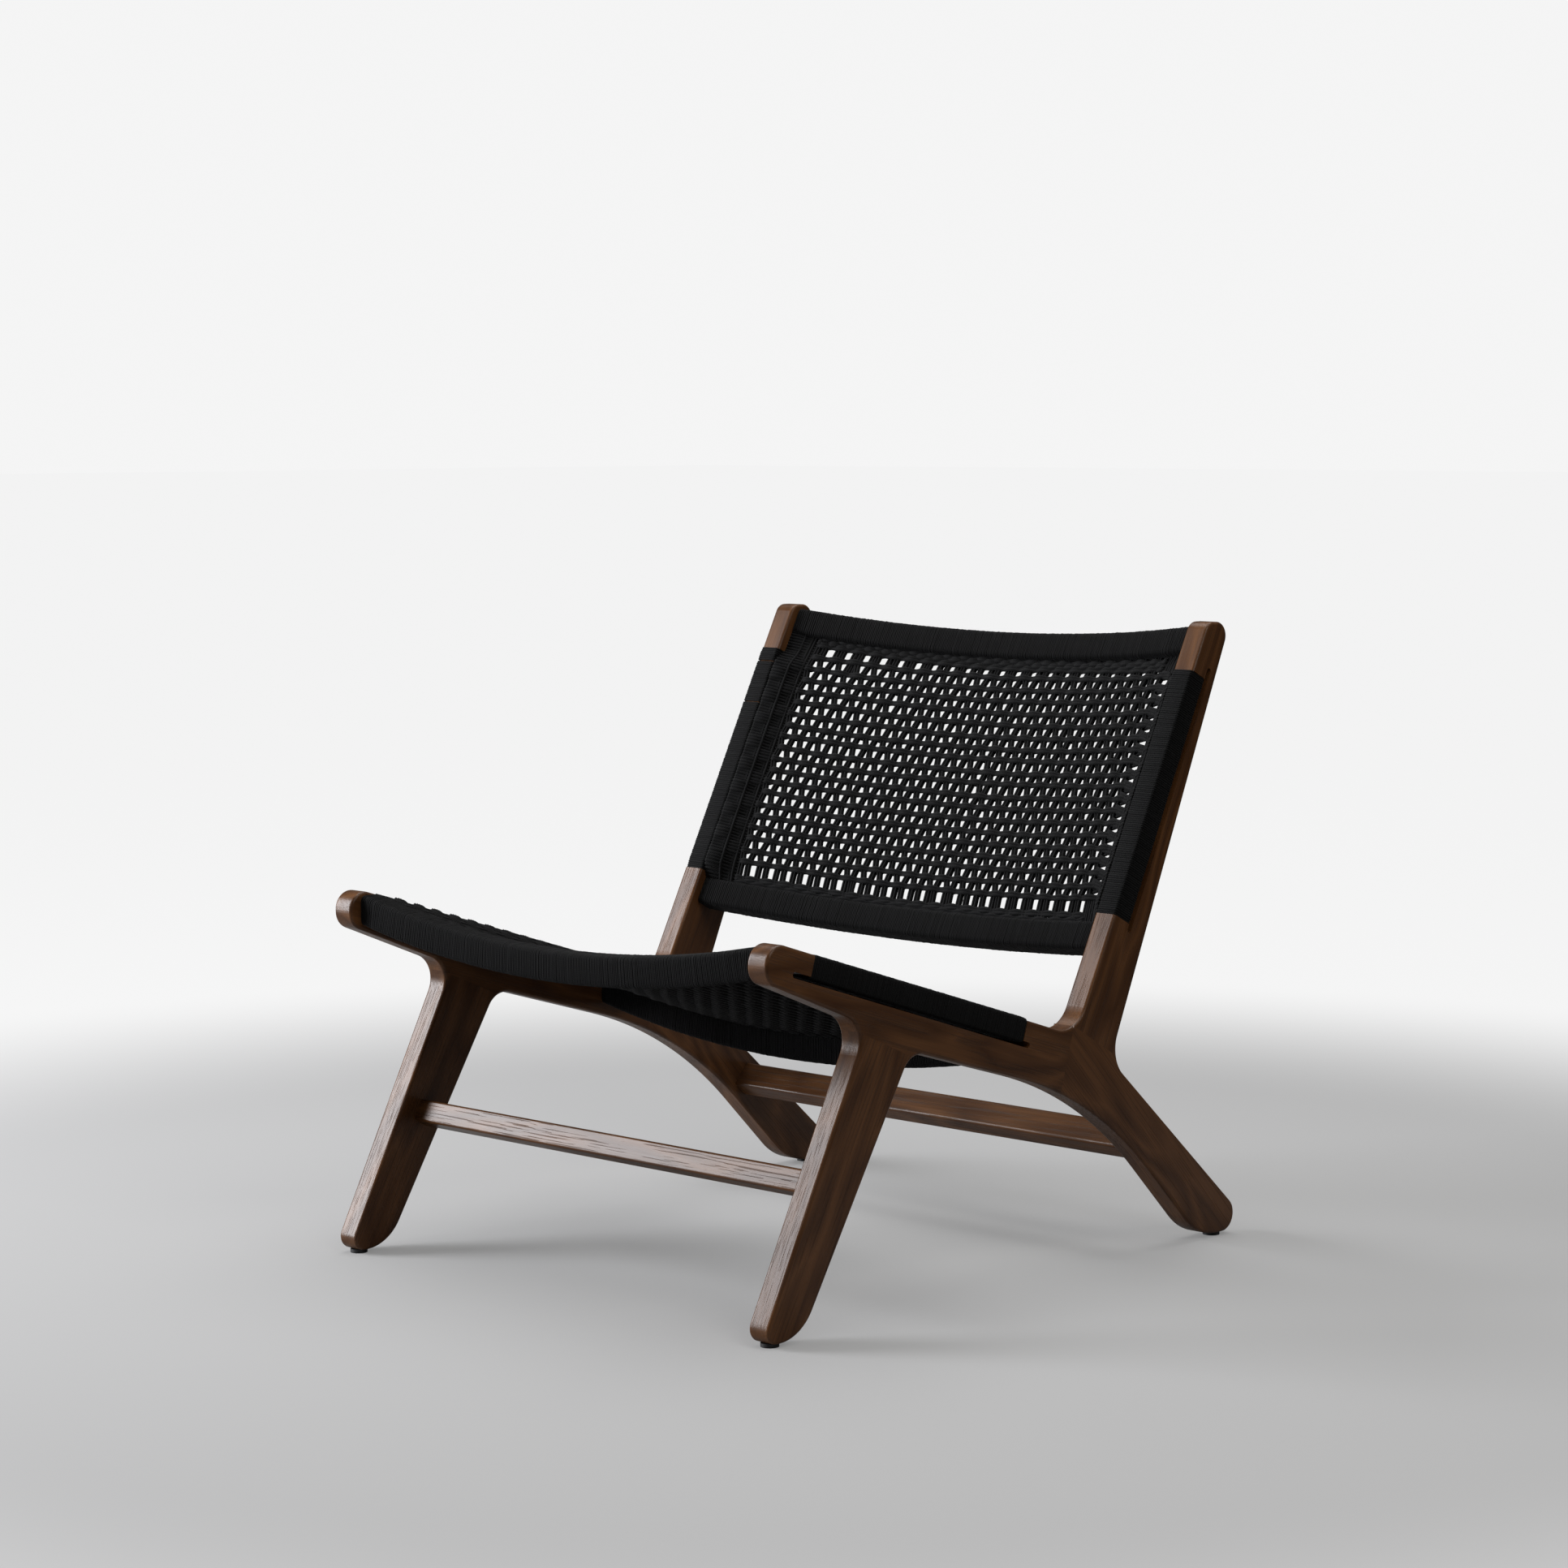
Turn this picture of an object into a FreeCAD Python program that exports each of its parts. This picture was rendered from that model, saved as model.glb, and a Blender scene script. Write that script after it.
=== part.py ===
import FreeCAD, Part
import math
import os

# Low lounge chair: two flat shaped side frames, two stretchers, four bowed crossbars and
# a cord weave for the seat and the back.  Millimetres, +Z up, the front faces -Y, and the
# origin is on the floor under the middle of the chair.
doc = FreeCAD.newDocument("lounge_chair")
V = FreeCAD.Vector

# ---------------------------------------------------------------- driving dimensions
SIZES = [
    # overall
    ("chair_width", 660.0), ("frame_depth", 760.0), ("chair_height", 693.0),
    ("top_bar_overhang", 13.1),
    ("board_thickness", 28.0), ("edge_round", 3.5),
    # seat rail
    ("rail_front_height", 410.0), ("rail_slope", 17.56), ("nose_depth", 43.2),
    ("nose_underside_slope", 21.8), ("nose_radius", 20.0),
    ("rail_underside_height", 335.3), ("rail_underside_slope", 16.17), ("arch_radius", 530.0),
    ("arch_land", 2.0),
    # front leg
    ("front_leg_front_foot", -10.0), ("front_leg_front_rake", 27.1),
    ("front_leg_back_foot", 47.2), ("front_leg_back_rake", 31.3),
    ("front_leg_front_fillet", 30.0), ("front_leg_back_fillet", 27.0),
    ("front_toe_radius", 14.0), ("front_heel_radius", 54.0),
    # rear leg, measured forward from the rearmost point of the chair
    ("rear_leg_front_foot", 58.6), ("rear_leg_front_rake", 45.57),
    ("rear_leg_back_foot", 37.2), ("rear_leg_back_rake", 41.06),
    ("rear_toe_radius", 84.0), ("rear_heel_radius", 19.5),
    # back post, measured forward from the rearmost point of the chair
    ("post_front_foot", 416.7), ("post_front_rake", 27.52),
    ("post_back_foot", 321.8), ("post_back_rake", 23.94),
    ("post_front_fillet", 38.0), ("post_back_fillet", 38.0),
    ("post_tip_front_radius", 14.0), ("post_tip_back_radius", 16.0),
    # cord and the wrapped strips
    ("cord_diameter", 3.2), ("edge_recess", 1.8), ("slot_width", 6.4), ("wrap_edge_round", 3.0),
    ("rail_strip_depth", 22.0), ("rail_wrap_start", 73.0), ("rail_wrap_short_of_post", 85.46),
    ("rail_slot_lead", 23.0), ("rail_slot_over_run", 8.0),
    ("post_strip_depth_low", 27.0), ("post_strip_depth_high", 22.6),
    ("post_wrap_start", 43.0), ("post_wrap_below_tip", 58.4),
    ("post_slot_lead", 6.0), ("post_slot_over_run", 11.0),
    ("recess_relief", 0.5), ("strip_core_over_run", 5.0),
    # bowed crossbars
    ("bar_height", 27.0), ("bar_depth", 22.0), ("bar_round", 4.0),
    ("seat_bar_bow", 33.0), ("back_low_bar_bow", 30.0), ("back_high_bar_bow", 42.0),
    ("seat_front_bar_inset", 17.0), ("seat_front_bar_drop", 5.0),
    ("seat_rear_bar_ahead_of_post", 88.09), ("seat_rear_bar_drop", 17.0),
    ("back_datum_height", 345.0), ("back_bar_inset", 9.5), ("back_low_bar_place", 21.0),
    ("back_high_bar_below_tip", 15.4),
    ("web_thickness", 6.4), ("soft_gap", 0.5),
    # stretchers
    ("front_stretcher_along_leg", 25.0), ("front_stretcher_across_leg", 25.0),
    ("front_stretcher_up_leg", 182.0), ("front_stretcher_inset", 22.5),
    ("rear_stretcher_along_leg", 25.0), ("rear_stretcher_across_leg", 32.0),
    ("rear_stretcher_up_leg", 213.0), ("rear_stretcher_inset", 11.4),
    ("stretcher_round", 3.0),
    # joinery
    ("tenon_length", 14.0), ("tenon_shoulder", 5.0), ("slot_side_shoulder", 16.5),
    ("slot_side_low_shoulder", 2.0), ("tenon_root", 2.0), ("mortise_mouth", 1.0),
    ("dowel_hole_spare_depth", 2.0),
    ("joint_clearance", 0.15), ("dowel_diameter", 8.0), ("dowel_length", 36.0),
    # floor glides
    ("glide_height", 4.0), ("glide_diameter", 19.0), ("nail_diameter", 2.4), ("nail_length", 16.0),
]
sheet = doc.addObject("Spreadsheet::Sheet", "Sizes")
for row, (alias, value) in enumerate(SIZES, start=1):
    sheet.set("A%d" % row, alias)
    sheet.set("B%d" % row, str(value))
    sheet.setAlias("B%d" % row, alias)
doc.recompute()


def size(name):
    """Read one driving dimension back from the sheet."""
    return float(getattr(sheet, name))


# ---------------------------------------------------------------- flat geometry helpers
# The side frame is drawn in the Y-Z plane; a point is (y, z) held in a Vector's x and y.
# The bowed top bar stands out behind the rear feet, so the frame sits a little forward.
FRONT = -(size("frame_depth") + size("top_bar_overhang")) / 2.0
REAR = FRONT + size("frame_depth")
SOLE = size("glide_height")


def point(y, z):
    return V(y, z, 0)


def heading(rake):
    """Unit direction that climbs from the floor and leans back by the rake, in degrees."""
    return V(math.sin(math.radians(rake)), math.cos(math.radians(rake)), 0)


def falling(slope):
    """Unit direction that runs to the back and falls by the slope, in degrees."""
    return V(math.cos(math.radians(slope)), -math.sin(math.radians(slope)), 0)


def square_to(direction):
    """The direction turned a quarter turn clockwise."""
    return V(direction.y, -direction.x, 0)


def crossing(line_a, line_b):
    """Where two lines, each an origin and a direction, cross."""
    (p, d), (q, e) = line_a, line_b
    across = d.x * e.y - d.y * e.x
    along = ((q.x - p.x) * e.y - (q.y - p.y) * e.x) / across
    return p + d * along


class Round:
    """The arc that rounds the corner between two straight edges.

    When room is given, the arc uses up no more than that length of the first edge.
    """

    def __init__(self, before, corner, after, radius, room=None):
        to_before = (before - corner).normalize()
        to_after = (after - corner).normalize()
        half = to_before.getAngle(to_after) / 2.0
        bisector = (to_before + to_after).normalize()
        if room is not None:
            radius = min(radius, room * math.tan(half))
        self.radius = radius
        self.corner = corner
        self.centre = corner + bisector * (radius / math.sin(half))
        self.start = corner + to_before * (radius / math.tan(half))
        self.end = corner + to_after * (radius / math.tan(half))
        self.mid = self.centre - bisector * radius

    def between(self, p, q):
        """The piece of this arc from p to q, as an edge."""
        middle = ((p - self.centre) + (q - self.centre)).normalize() * self.radius + self.centre
        return Part.Arc(p, middle, q)


# ---------------------------------------------------------------- lines of the side frame
rail_down = falling(size("rail_slope"))
rail_top = (point(FRONT, size("rail_front_height")), rail_down)
nose_face = (point(FRONT, 0), point(0, 1))
nose_under = (point(FRONT, size("rail_front_height") - size("nose_depth")),
              falling(size("nose_underside_slope")))
rail_under = (point(FRONT, size("rail_underside_height")), falling(size("rail_underside_slope")))
leg_front = (point(FRONT + size("front_leg_front_foot"), 0), heading(size("front_leg_front_rake")))
leg_back = (point(FRONT + size("front_leg_back_foot"), 0), heading(size("front_leg_back_rake")))
hind_front = (point(REAR - size("rear_leg_front_foot"), 0),
              heading(-size("rear_leg_front_rake")))
hind_back = (point(REAR + size("rear_leg_back_foot"), 0),
             heading(size("rear_leg_back_rake") - 90.0))
post_front = (point(REAR - size("post_front_foot"), 0), heading(size("post_front_rake")))
post_back = (point(REAR - size("post_back_foot"), 0), heading(size("post_back_rake")))
floor_line = (point(0, SOLE), point(1, 0))
tip_line = (point(0, size("chair_height")), point(1, 0))

nose_high = crossing(rail_top, nose_face)
nose_low = crossing(nose_under, nose_face)
knee_front = crossing(nose_under, leg_front)
knee_back = crossing(rail_under, leg_back)
toe_front = crossing(leg_front, floor_line)
heel_front = crossing(leg_back, floor_line)
arch = crossing(rail_under, hind_front)
toe_rear = crossing(hind_front, floor_line)
heel_rear = crossing(hind_back, floor_line)
post_foot = crossing(rail_top, post_front)
notch = crossing(post_back, hind_back)
tip_front = crossing(post_front, tip_line)
tip_back = crossing(post_back, tip_line)

nose_high_round = Round(post_foot, nose_high, nose_low, size("nose_radius"))
nose_low_round = Round(nose_high, nose_low, knee_front, size("nose_radius"))
knee_front_round = Round(nose_low, knee_front, toe_front, size("front_leg_front_fillet"))
toe_front_round = Round(knee_front, toe_front, heel_front, size("front_toe_radius"))
heel_front_round = Round(toe_front, heel_front, knee_back, size("front_heel_radius"))
knee_back_round = Round(heel_front, knee_back, arch, size("front_leg_back_fillet"))
arch_room = (arch - knee_back_round.end).Length - size("arch_land")
arch_round = Round(knee_back, arch, toe_rear, size("arch_radius"), arch_room)
toe_rear_round = Round(arch, toe_rear, heel_rear, size("rear_toe_radius"))
heel_rear_round = Round(toe_rear, heel_rear, notch, size("rear_heel_radius"))
notch_round = Round(heel_rear, notch, tip_back, size("post_back_fillet"))
tip_back_round = Round(notch, tip_back, tip_front, size("post_tip_back_radius"))
tip_front_round = Round(tip_back, tip_front, post_foot, size("post_tip_front_radius"))
post_foot_round = Round(tip_front, post_foot, nose_high, size("post_front_fillet"))

# The boards meet on straight glue lines that run between the middles of those fillets.
meet_front = knee_front_round.mid
meet_back = knee_back_round.mid
meet_post = post_foot_round.mid
meet_notch = notch_round.mid


def meet_underside():
    """Where a square cut through the rail's rear end comes out: on the arch, or before it."""
    down = square_to(rail_down)
    straight = crossing(rail_under, (meet_post, down))
    if (straight - knee_back).Length < (arch_round.start - knee_back).Length:
        return straight
    reach = meet_post - arch_round.centre
    along = -(reach.x * down.x + reach.y * down.y)
    foot_of_normal = meet_post + down * along
    offset = (foot_of_normal - arch_round.centre).Length
    half_chord = math.sqrt(arch_round.radius ** 2 - offset ** 2)
    first = foot_of_normal - down * half_chord
    second = foot_of_normal + down * half_chord
    return min((first, second), key=lambda spot: (spot - meet_post).Length)


meet_arch = meet_underside()
arch_starts_in_rail = ((meet_arch - knee_back).Length > (arch_round.start - knee_back).Length)


def line(p, q):
    return Part.LineSegment(p, q)


def underside_of_rail():
    if not arch_starts_in_rail:
        return [line(meet_arch, knee_back_round.end)]
    return [
        arch_round.between(meet_arch, arch_round.start),
        line(arch_round.start, knee_back_round.end),
    ]


def underside_of_rear_leg():
    if not arch_starts_in_rail:
        return [
            arch_round.between(arch_round.end, arch_round.start),
            line(arch_round.start, meet_arch),
        ]
    return [arch_round.between(arch_round.end, meet_arch)]


def outline_rail():
    return [
        knee_front_round.between(meet_front, knee_front_round.start),
        line(knee_front_round.start, nose_low_round.end),
        nose_low_round.between(nose_low_round.end, nose_low_round.start),
        line(nose_low_round.start, nose_high_round.end),
        nose_high_round.between(nose_high_round.end, nose_high_round.start),
        line(nose_high_round.start, post_foot_round.end),
        post_foot_round.between(post_foot_round.end, meet_post),
        line(meet_post, meet_arch),
    ] + underside_of_rail() + [
        knee_back_round.between(knee_back_round.end, meet_back),
        line(meet_back, meet_front),
    ]


def outline_front_leg():
    return [
        knee_front_round.between(meet_front, knee_front_round.end),
        line(knee_front_round.end, toe_front_round.start),
        toe_front_round.between(toe_front_round.start, toe_front_round.end),
        line(toe_front_round.end, heel_front_round.start),
        heel_front_round.between(heel_front_round.start, heel_front_round.end),
        line(heel_front_round.end, knee_back_round.start),
        knee_back_round.between(knee_back_round.start, meet_back),
        line(meet_back, meet_front),
    ]


def outline_rear_leg():
    return [
        line(meet_post, meet_notch),
        notch_round.between(meet_notch, notch_round.start),
        line(notch_round.start, heel_rear_round.end),
        heel_rear_round.between(heel_rear_round.end, heel_rear_round.start),
        line(heel_rear_round.start, toe_rear_round.end),
        toe_rear_round.between(toe_rear_round.end, toe_rear_round.start),
        line(toe_rear_round.start, arch_round.end),
    ] + underside_of_rear_leg() + [
        line(meet_arch, meet_post),
    ]


def outline_post():
    return [
        post_foot_round.between(meet_post, post_foot_round.start),
        line(post_foot_round.start, tip_front_round.end),
        tip_front_round.between(tip_front_round.end, tip_front_round.start),
        line(tip_front_round.start, tip_back_round.end),
        tip_back_round.between(tip_back_round.end, tip_back_round.start),
        line(tip_back_round.start, notch_round.end),
        notch_round.between(notch_round.end, meet_notch),
        line(meet_notch, meet_post),
    ]


def polygon(corners):
    return [line(p, q) for p, q in zip(corners, corners[1:] + corners[:1])]


def slot_outline(end_a, end_b, width):
    """A slot with half-round ends between two centres."""
    run = (end_b - end_a).normalize()
    side = square_to(run) * (width / 2.0)
    tip = run * (width / 2.0)
    return [
        line(end_a + side, end_b + side),
        Part.Arc(end_b + side, end_b + tip, end_b - side),
        line(end_b - side, end_a - side),
        Part.Arc(end_a - side, end_a - tip, end_a + side),
    ]


# ---------------------------------------------------------------- feature helpers
def plane_of(body, role):
    return [item for item in body.Origin.OriginFeatures if item.Role == role][0]


def sketch_on(body, role, name, edges, offset=0.0):
    """A sketch on one of the body's own origin planes, its neighbours' ends tied together."""
    sketch = body.newObject("Sketcher::SketchObject", name)
    sketch.AttachmentSupport = [(plane_of(body, role), "")]
    sketch.MapMode = "FlatFace"
    sketch.AttachmentOffset = FreeCAD.Placement(V(0, 0, offset), FreeCAD.Rotation())
    sketch.addGeometry(edges, False)
    return sketch


def pad(body, sketch, name, length, both_ways=False):
    feature = body.newObject("PartDesign::Pad", name)
    feature.Profile = sketch
    feature.setExpression("Length", length)
    feature.Midplane = both_ways
    return feature


def pocket(body, sketch, name, length):
    """Cut from the sketch plane towards +X, and make sure that it removed something."""
    doc.recompute()
    before = body.Shape.Volume
    feature = body.newObject("PartDesign::Pocket", name)
    feature.Profile = sketch
    feature.setExpression("Length", length)
    feature.Reversed = True
    doc.recompute()
    if body.Shape.Volume > before - 1.0:
        raise ValueError("%s removed nothing from %s" % (name, body.Label))
    return feature


def on_glue_line(middle, glue_lines):
    for p, q in glue_lines:
        run = (q - p).normalize()
        if abs((middle - p).cross(run).z) < 0.05:
            return True
    return False


def round_free_edges(body, glue_lines):
    """Round the long edges of a board, leaving the glued ends crisp."""
    doc.recompute()
    feature_before = body.Tip
    names = []
    for index, edge in enumerate(feature_before.Shape.Edges, start=1):
        middle = edge.valueAt((edge.FirstParameter + edge.LastParameter) / 2.0)
        flat = abs(edge.Vertexes[0].X - edge.Vertexes[-1].X) < 1e-6
        if flat and not on_glue_line(point(middle.y, middle.z), glue_lines):
            names.append("Edge%d" % index)
    fillet = body.newObject("PartDesign::Fillet", "edge_rounding")
    fillet.Base = (feature_before, names)
    fillet.setExpression("Radius", "Sizes.edge_round")
    doc.recompute()
    return fillet


def new_body(label):
    body = doc.addObject("PartDesign::Body", label)
    body.Label = label
    return body


def side_board(label, edges, glue_lines):
    """A board of the right side frame, its inner face on the frame's inner plane."""
    body = new_body(label)
    outline = sketch_on(body, "YZ_Plane", "outline", edges)
    pad(body, outline, "board", "Sizes.board_thickness")
    round_free_edges(body, glue_lines)
    body.setExpression("Placement.Base.x", "Sizes.chair_width / 2 - Sizes.board_thickness")
    return body


# ---------------------------------------------------------------- wrapped strips
class Strip:
    """A strip along a board's edge that the cord is wound around, beside its slot."""

    def __init__(self, edge_start, edge_end, depth_start, depth_end):
        self.start = edge_start
        self.end = edge_end
        self.run = (edge_end - edge_start).normalize()
        self.inward = square_to(self.run)
        self.depth_start = depth_start
        self.depth_end = depth_end

    def quad(self, top, bottom_extra, over_run=0.0):
        """A four-sided outline from 'top' below the edge to past the strip's inner side."""
        grow = self.run * over_run
        return polygon([
            self.start - grow + self.inward * top,
            self.end + grow + self.inward * top,
            self.end + grow + self.inward * (self.depth_end + bottom_extra),
            self.start - grow + self.inward * (self.depth_start + bottom_extra),
        ])

    def slot(self, lead_start, lead_end):
        """The slot along the strip's inner side, running past the wrap at both ends."""
        half = size("slot_width") / 2.0
        a = self.start + self.inward * (self.depth_start + half)
        b = self.end + self.inward * (self.depth_end + half)
        run = (b - a).normalize()
        return slot_outline(a - run * lead_start, b + run * lead_end, size("slot_width"))


rail_strip_start = nose_high + rail_down * size("rail_wrap_start")
rail_strip_end = post_foot - rail_down * size("rail_wrap_short_of_post")
rail_strip = Strip(rail_strip_start, rail_strip_end,
                   size("rail_strip_depth"), size("rail_strip_depth"))
post_up = post_front[1]
post_datum = crossing(post_front, (point(0, size("back_datum_height")), point(1, 0)))
post_strip_start = post_datum + post_up * size("post_wrap_start")
post_strip_end = tip_front - post_up * size("post_wrap_below_tip")
post_strip = Strip(post_strip_start, post_strip_end,
                   size("post_strip_depth_low"), size("post_strip_depth_high"))


def cut_strip(body, strip, lead_start, lead_end):
    """Cut the slot, and sink the strip's outer faces so that the cord lies nearly level."""
    slot = sketch_on(body, "YZ_Plane", "cord_slot", strip.slot(lead_start, lead_end))
    pocket(body, slot, "cord_slot_cut", "Sizes.board_thickness")
    edge = sketch_on(body, "YZ_Plane", "edge_recess", polygon([
        strip.start - strip.inward * size("cord_diameter"),
        strip.end - strip.inward * size("cord_diameter"),
        strip.end + strip.inward * size("edge_recess"),
        strip.start + strip.inward * size("edge_recess")]))
    pocket(body, edge, "edge_recess_cut", "Sizes.board_thickness")
    inner = sketch_on(body, "YZ_Plane", "inner_recess",
                       strip.quad(0.0, size("recess_relief")))
    pocket(body, inner, "inner_recess_cut", "Sizes.cord_diameter")
    outer = sketch_on(body, "YZ_Plane", "outer_recess",
                       strip.quad(0.0, size("recess_relief")),
                       size("board_thickness") - size("cord_diameter"))
    outer.setExpression("AttachmentOffset.Base.z", "Sizes.board_thickness - Sizes.cord_diameter")
    pocket(body, outer, "outer_recess_cut", "Sizes.cord_diameter")


def strip_wrap(label, strip):
    """The cord wound around a strip, as one closed sleeve, level with the board's faces."""
    outer = new_body(label + "_outside")
    proud = size("cord_diameter") - size("edge_recess")
    around = sketch_on(outer, "YZ_Plane", "around", strip.quad(-proud, size("cord_diameter")))
    pad(outer, around, "sleeve", "Sizes.board_thickness")
    doc.recompute()
    before = outer.Tip
    long_edges = []
    for index, edge in enumerate(before.Shape.Edges, start=1):
        run = (edge.Vertexes[-1].Point - edge.Vertexes[0].Point).normalize()
        if abs(run.y * strip.run.x + run.z * strip.run.y) > 0.9:
            long_edges.append("Edge%d" % index)
    fillet = outer.newObject("PartDesign::Fillet", "corner_rounding")
    fillet.Base = (before, long_edges)
    fillet.setExpression("Radius", "Sizes.wrap_edge_round")
    outer.setExpression("Placement.Base.x", "Sizes.chair_width / 2 - Sizes.board_thickness")
    core = new_body(label + "_core")
    inside = sketch_on(core, "YZ_Plane", "inside",
                       strip.quad(size("edge_recess"), 0.0, size("strip_core_over_run")))
    pad(core, inside, "strip", "Sizes.board_thickness - 2 * Sizes.cord_diameter")
    core.setExpression("Placement.Base.x", "Sizes.chair_width / 2 - Sizes.board_thickness"
                       " + Sizes.cord_diameter")
    return cut(label, outer, core)


def cut(label, base, tool):
    result = doc.addObject("Part::Cut", label)
    result.Label = label
    result.Base = base
    result.Tool = tool
    return result


def group(label, members):
    """Several separate solids of one kind that share a node."""
    result = doc.addObject("Part::Compound", label)
    result.Label = label
    result.Links = members
    return result


def mirrored(label, source):
    """The left-hand copy of a right-hand piece."""
    result = doc.addObject("Part::Mirroring", label)
    result.Label = label
    result.Source = source
    result.Base = V(0, 0, 0)
    result.Normal = V(1, 0, 0)
    return result


# ---------------------------------------------------------------- bars across the chair
SPAN = size("chair_width") - 2.0 * size("board_thickness")


def place_across(item, spot, lean):
    """Put a piece drawn about the X axis at a (y, z) spot, leaned about X."""
    item.Placement = FreeCAD.Placement(V(0, spot.x, spot.y), FreeCAD.Rotation(V(1, 0, 0), lean))


def bowed_outline(top, bottom, bow, half):
    """A bar seen along its depth: level ends, its middle bowed down."""
    return [
        Part.Arc(point(-half, top), point(0, top - bow), point(half, top)),
        line(point(half, top), point(half, bottom)),
        Part.Arc(point(half, bottom), point(0, bottom - bow), point(-half, bottom)),
        line(point(-half, bottom), point(-half, top)),
    ]


def round_long_edges(body, radius):
    """Round the edges that run along X for most of the piece."""
    doc.recompute()
    before = body.Tip
    names = []
    for index, edge in enumerate(before.Shape.Edges, start=1):
        if abs(edge.Vertexes[0].X - edge.Vertexes[-1].X) > SPAN / 2.0:
            names.append("Edge%d" % index)
    fillet = body.newObject("PartDesign::Fillet", "long_edges")
    fillet.Base = (before, names)
    fillet.setExpression("Radius", radius)
    doc.recompute()


class Crossbar:
    """A bowed bar between the side frames: where its ends sit and how it is let in."""

    def __init__(self, node, spot, lean, bow, along, across, shoulder_high):
        self.node = node
        self.spot = spot
        self.lean = lean
        self.bow = bow
        self.along = along
        self.across = across
        self.top = size(along) / 2.0
        self.tenon_top = self.top - size(shoulder_high)
        self.tenon_bottom = -self.top + size("tenon_shoulder")
        if shoulder_high != "tenon_shoulder":
            self.tenon_bottom = -self.top + size("slot_side_low_shoulder")
        self.tenon_depth = size(across) - 2.0 * size("tenon_shoulder")

    def bowed(self, label, grow, half, depth, radius):
        """The bar, or the bar grown by the cord all round."""
        body = new_body(label)
        edges = bowed_outline(self.top + grow, -self.top - grow, size(self.bow), half)
        side = sketch_on(body, "XZ_Plane", "bow", edges)
        pad(body, side, "bar", depth, both_ways=True)
        if radius:
            round_long_edges(body, radius)
        return body

    def wood(self):
        body = self.bowed(self.node, 0.0, SPAN / 2.0, "Sizes." + self.across, "Sizes.bar_round")
        inner = SPAN / 2.0 - size("tenon_root")
        outer = SPAN / 2.0 + size("tenon_length")
        corners = [
            (sign * inner, sign * outer) for sign in (-1, 1)
        ]
        ends = []
        for near, far in corners:
            ends += polygon([point(near, self.tenon_bottom), point(far, self.tenon_bottom),
                             point(far, self.tenon_top), point(near, self.tenon_top)])
        sketch = sketch_on(body, "XZ_Plane", "tenon_pair", ends)
        pad(body, sketch, "tenons", "Sizes.%s - 2 * Sizes.tenon_shoulder" % self.across,
            both_ways=True)
        place_across(body, self.spot, self.lean)
        return body

    def wrap(self):
        """The cord wound around the bar, as one closed sleeve."""
        half = SPAN / 2.0 - size("soft_gap")
        thick = size("cord_diameter")
        depth = "Sizes.%s + 2 * Sizes.cord_diameter" % self.across
        outer = self.bowed(self.node + "_wrap_outside", thick, half, depth,
                           "Sizes.bar_round + Sizes.cord_diameter")
        inner = self.bowed(self.node + "_wrap_core", 0.0, SPAN / 2.0, "Sizes." + self.across,
                           "Sizes.bar_round")
        for item in (outer, inner):
            place_across(item, self.spot, self.lean)
        return cut(self.node + "_wrap", outer, inner)

    def mortise(self):
        """The hole in the right-hand board that the tenon fits."""
        room = size("joint_clearance")
        return mortise_box(self.node + "_mortise", self.spot, self.lean,
                           -self.tenon_depth / 2.0 - room, self.tenon_depth / 2.0 + room,
                           self.tenon_bottom - room, self.tenon_top + room)


def mortise_box(name, spot, lean, low_y, high_y, low_z, high_z):
    """A box let into the right-hand board from its inner face."""
    tool = doc.addObject("Part::Box", name)
    tool.setExpression("Length", "Sizes.tenon_length + Sizes.joint_clearance"
                       " + Sizes.mortise_mouth")
    tool.Width = high_y - low_y
    tool.Height = high_z - low_z
    turn = FreeCAD.Rotation(V(1, 0, 0), lean)
    mouth = V(SPAN / 2.0 - size("mortise_mouth"), spot.x, spot.y)
    base = mouth + turn.multVec(V(0, low_y, low_z))
    tool.Placement = FreeCAD.Placement(base, turn)
    return tool


class Stretcher:
    """A straight rail between two legs, squared to the leg it is let into."""

    def __init__(self, node, leg_line, side, rake):
        self.node = node
        self.along = node + "_along_leg"
        self.across = node + "_across_leg"
        start, up = leg_line
        inward = square_to(up) * side
        depth = size(node + "_inset") + size(self.across) / 2.0
        self.spot = start + up * size(node + "_up_leg") + inward * depth
        self.lean = -rake

    def section(self, trim):
        half_y = size(self.across) / 2.0 - trim
        half_z = size(self.along) / 2.0 - trim
        return half_y, half_z

    def wood(self):
        body = new_body(self.node)
        half_y, half_z = self.section(0.0)
        face = sketch_on(body, "YZ_Plane", "section", box_outline(half_y, half_z))
        pad(body, face, "rail", "Sizes.chair_width - 2 * Sizes.board_thickness", both_ways=True)
        round_long_edges(body, "Sizes.stretcher_round")
        half_y, half_z = self.section(size("tenon_shoulder"))
        core = sketch_on(body, "YZ_Plane", "tenon_section", box_outline(half_y, half_z))
        pad(body, core, "tenons", "Sizes.chair_width - 2 * Sizes.board_thickness"
            " + 2 * Sizes.tenon_length", both_ways=True)
        place_across(body, self.spot, self.lean)
        return body

    def mortise(self):
        half_y, half_z = self.section(size("tenon_shoulder") - size("joint_clearance"))
        return mortise_box(self.node + "_mortise", self.spot, self.lean,
                           -half_y, half_y, -half_z, half_z)


def box_outline(half_y, half_z):
    return polygon([point(-half_y, -half_z), point(half_y, -half_z),
                    point(half_y, half_z), point(-half_y, half_z)])


def below_rail(setback, drop):
    """The end centre of a seat bar: a distance behind the nose and below the rail's top."""
    spot = point(nose_high.x + setback, 0)
    spot.y = crossing(rail_top, (spot, point(0, 1))).y - drop - size("bar_height") / 2.0
    return spot


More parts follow.
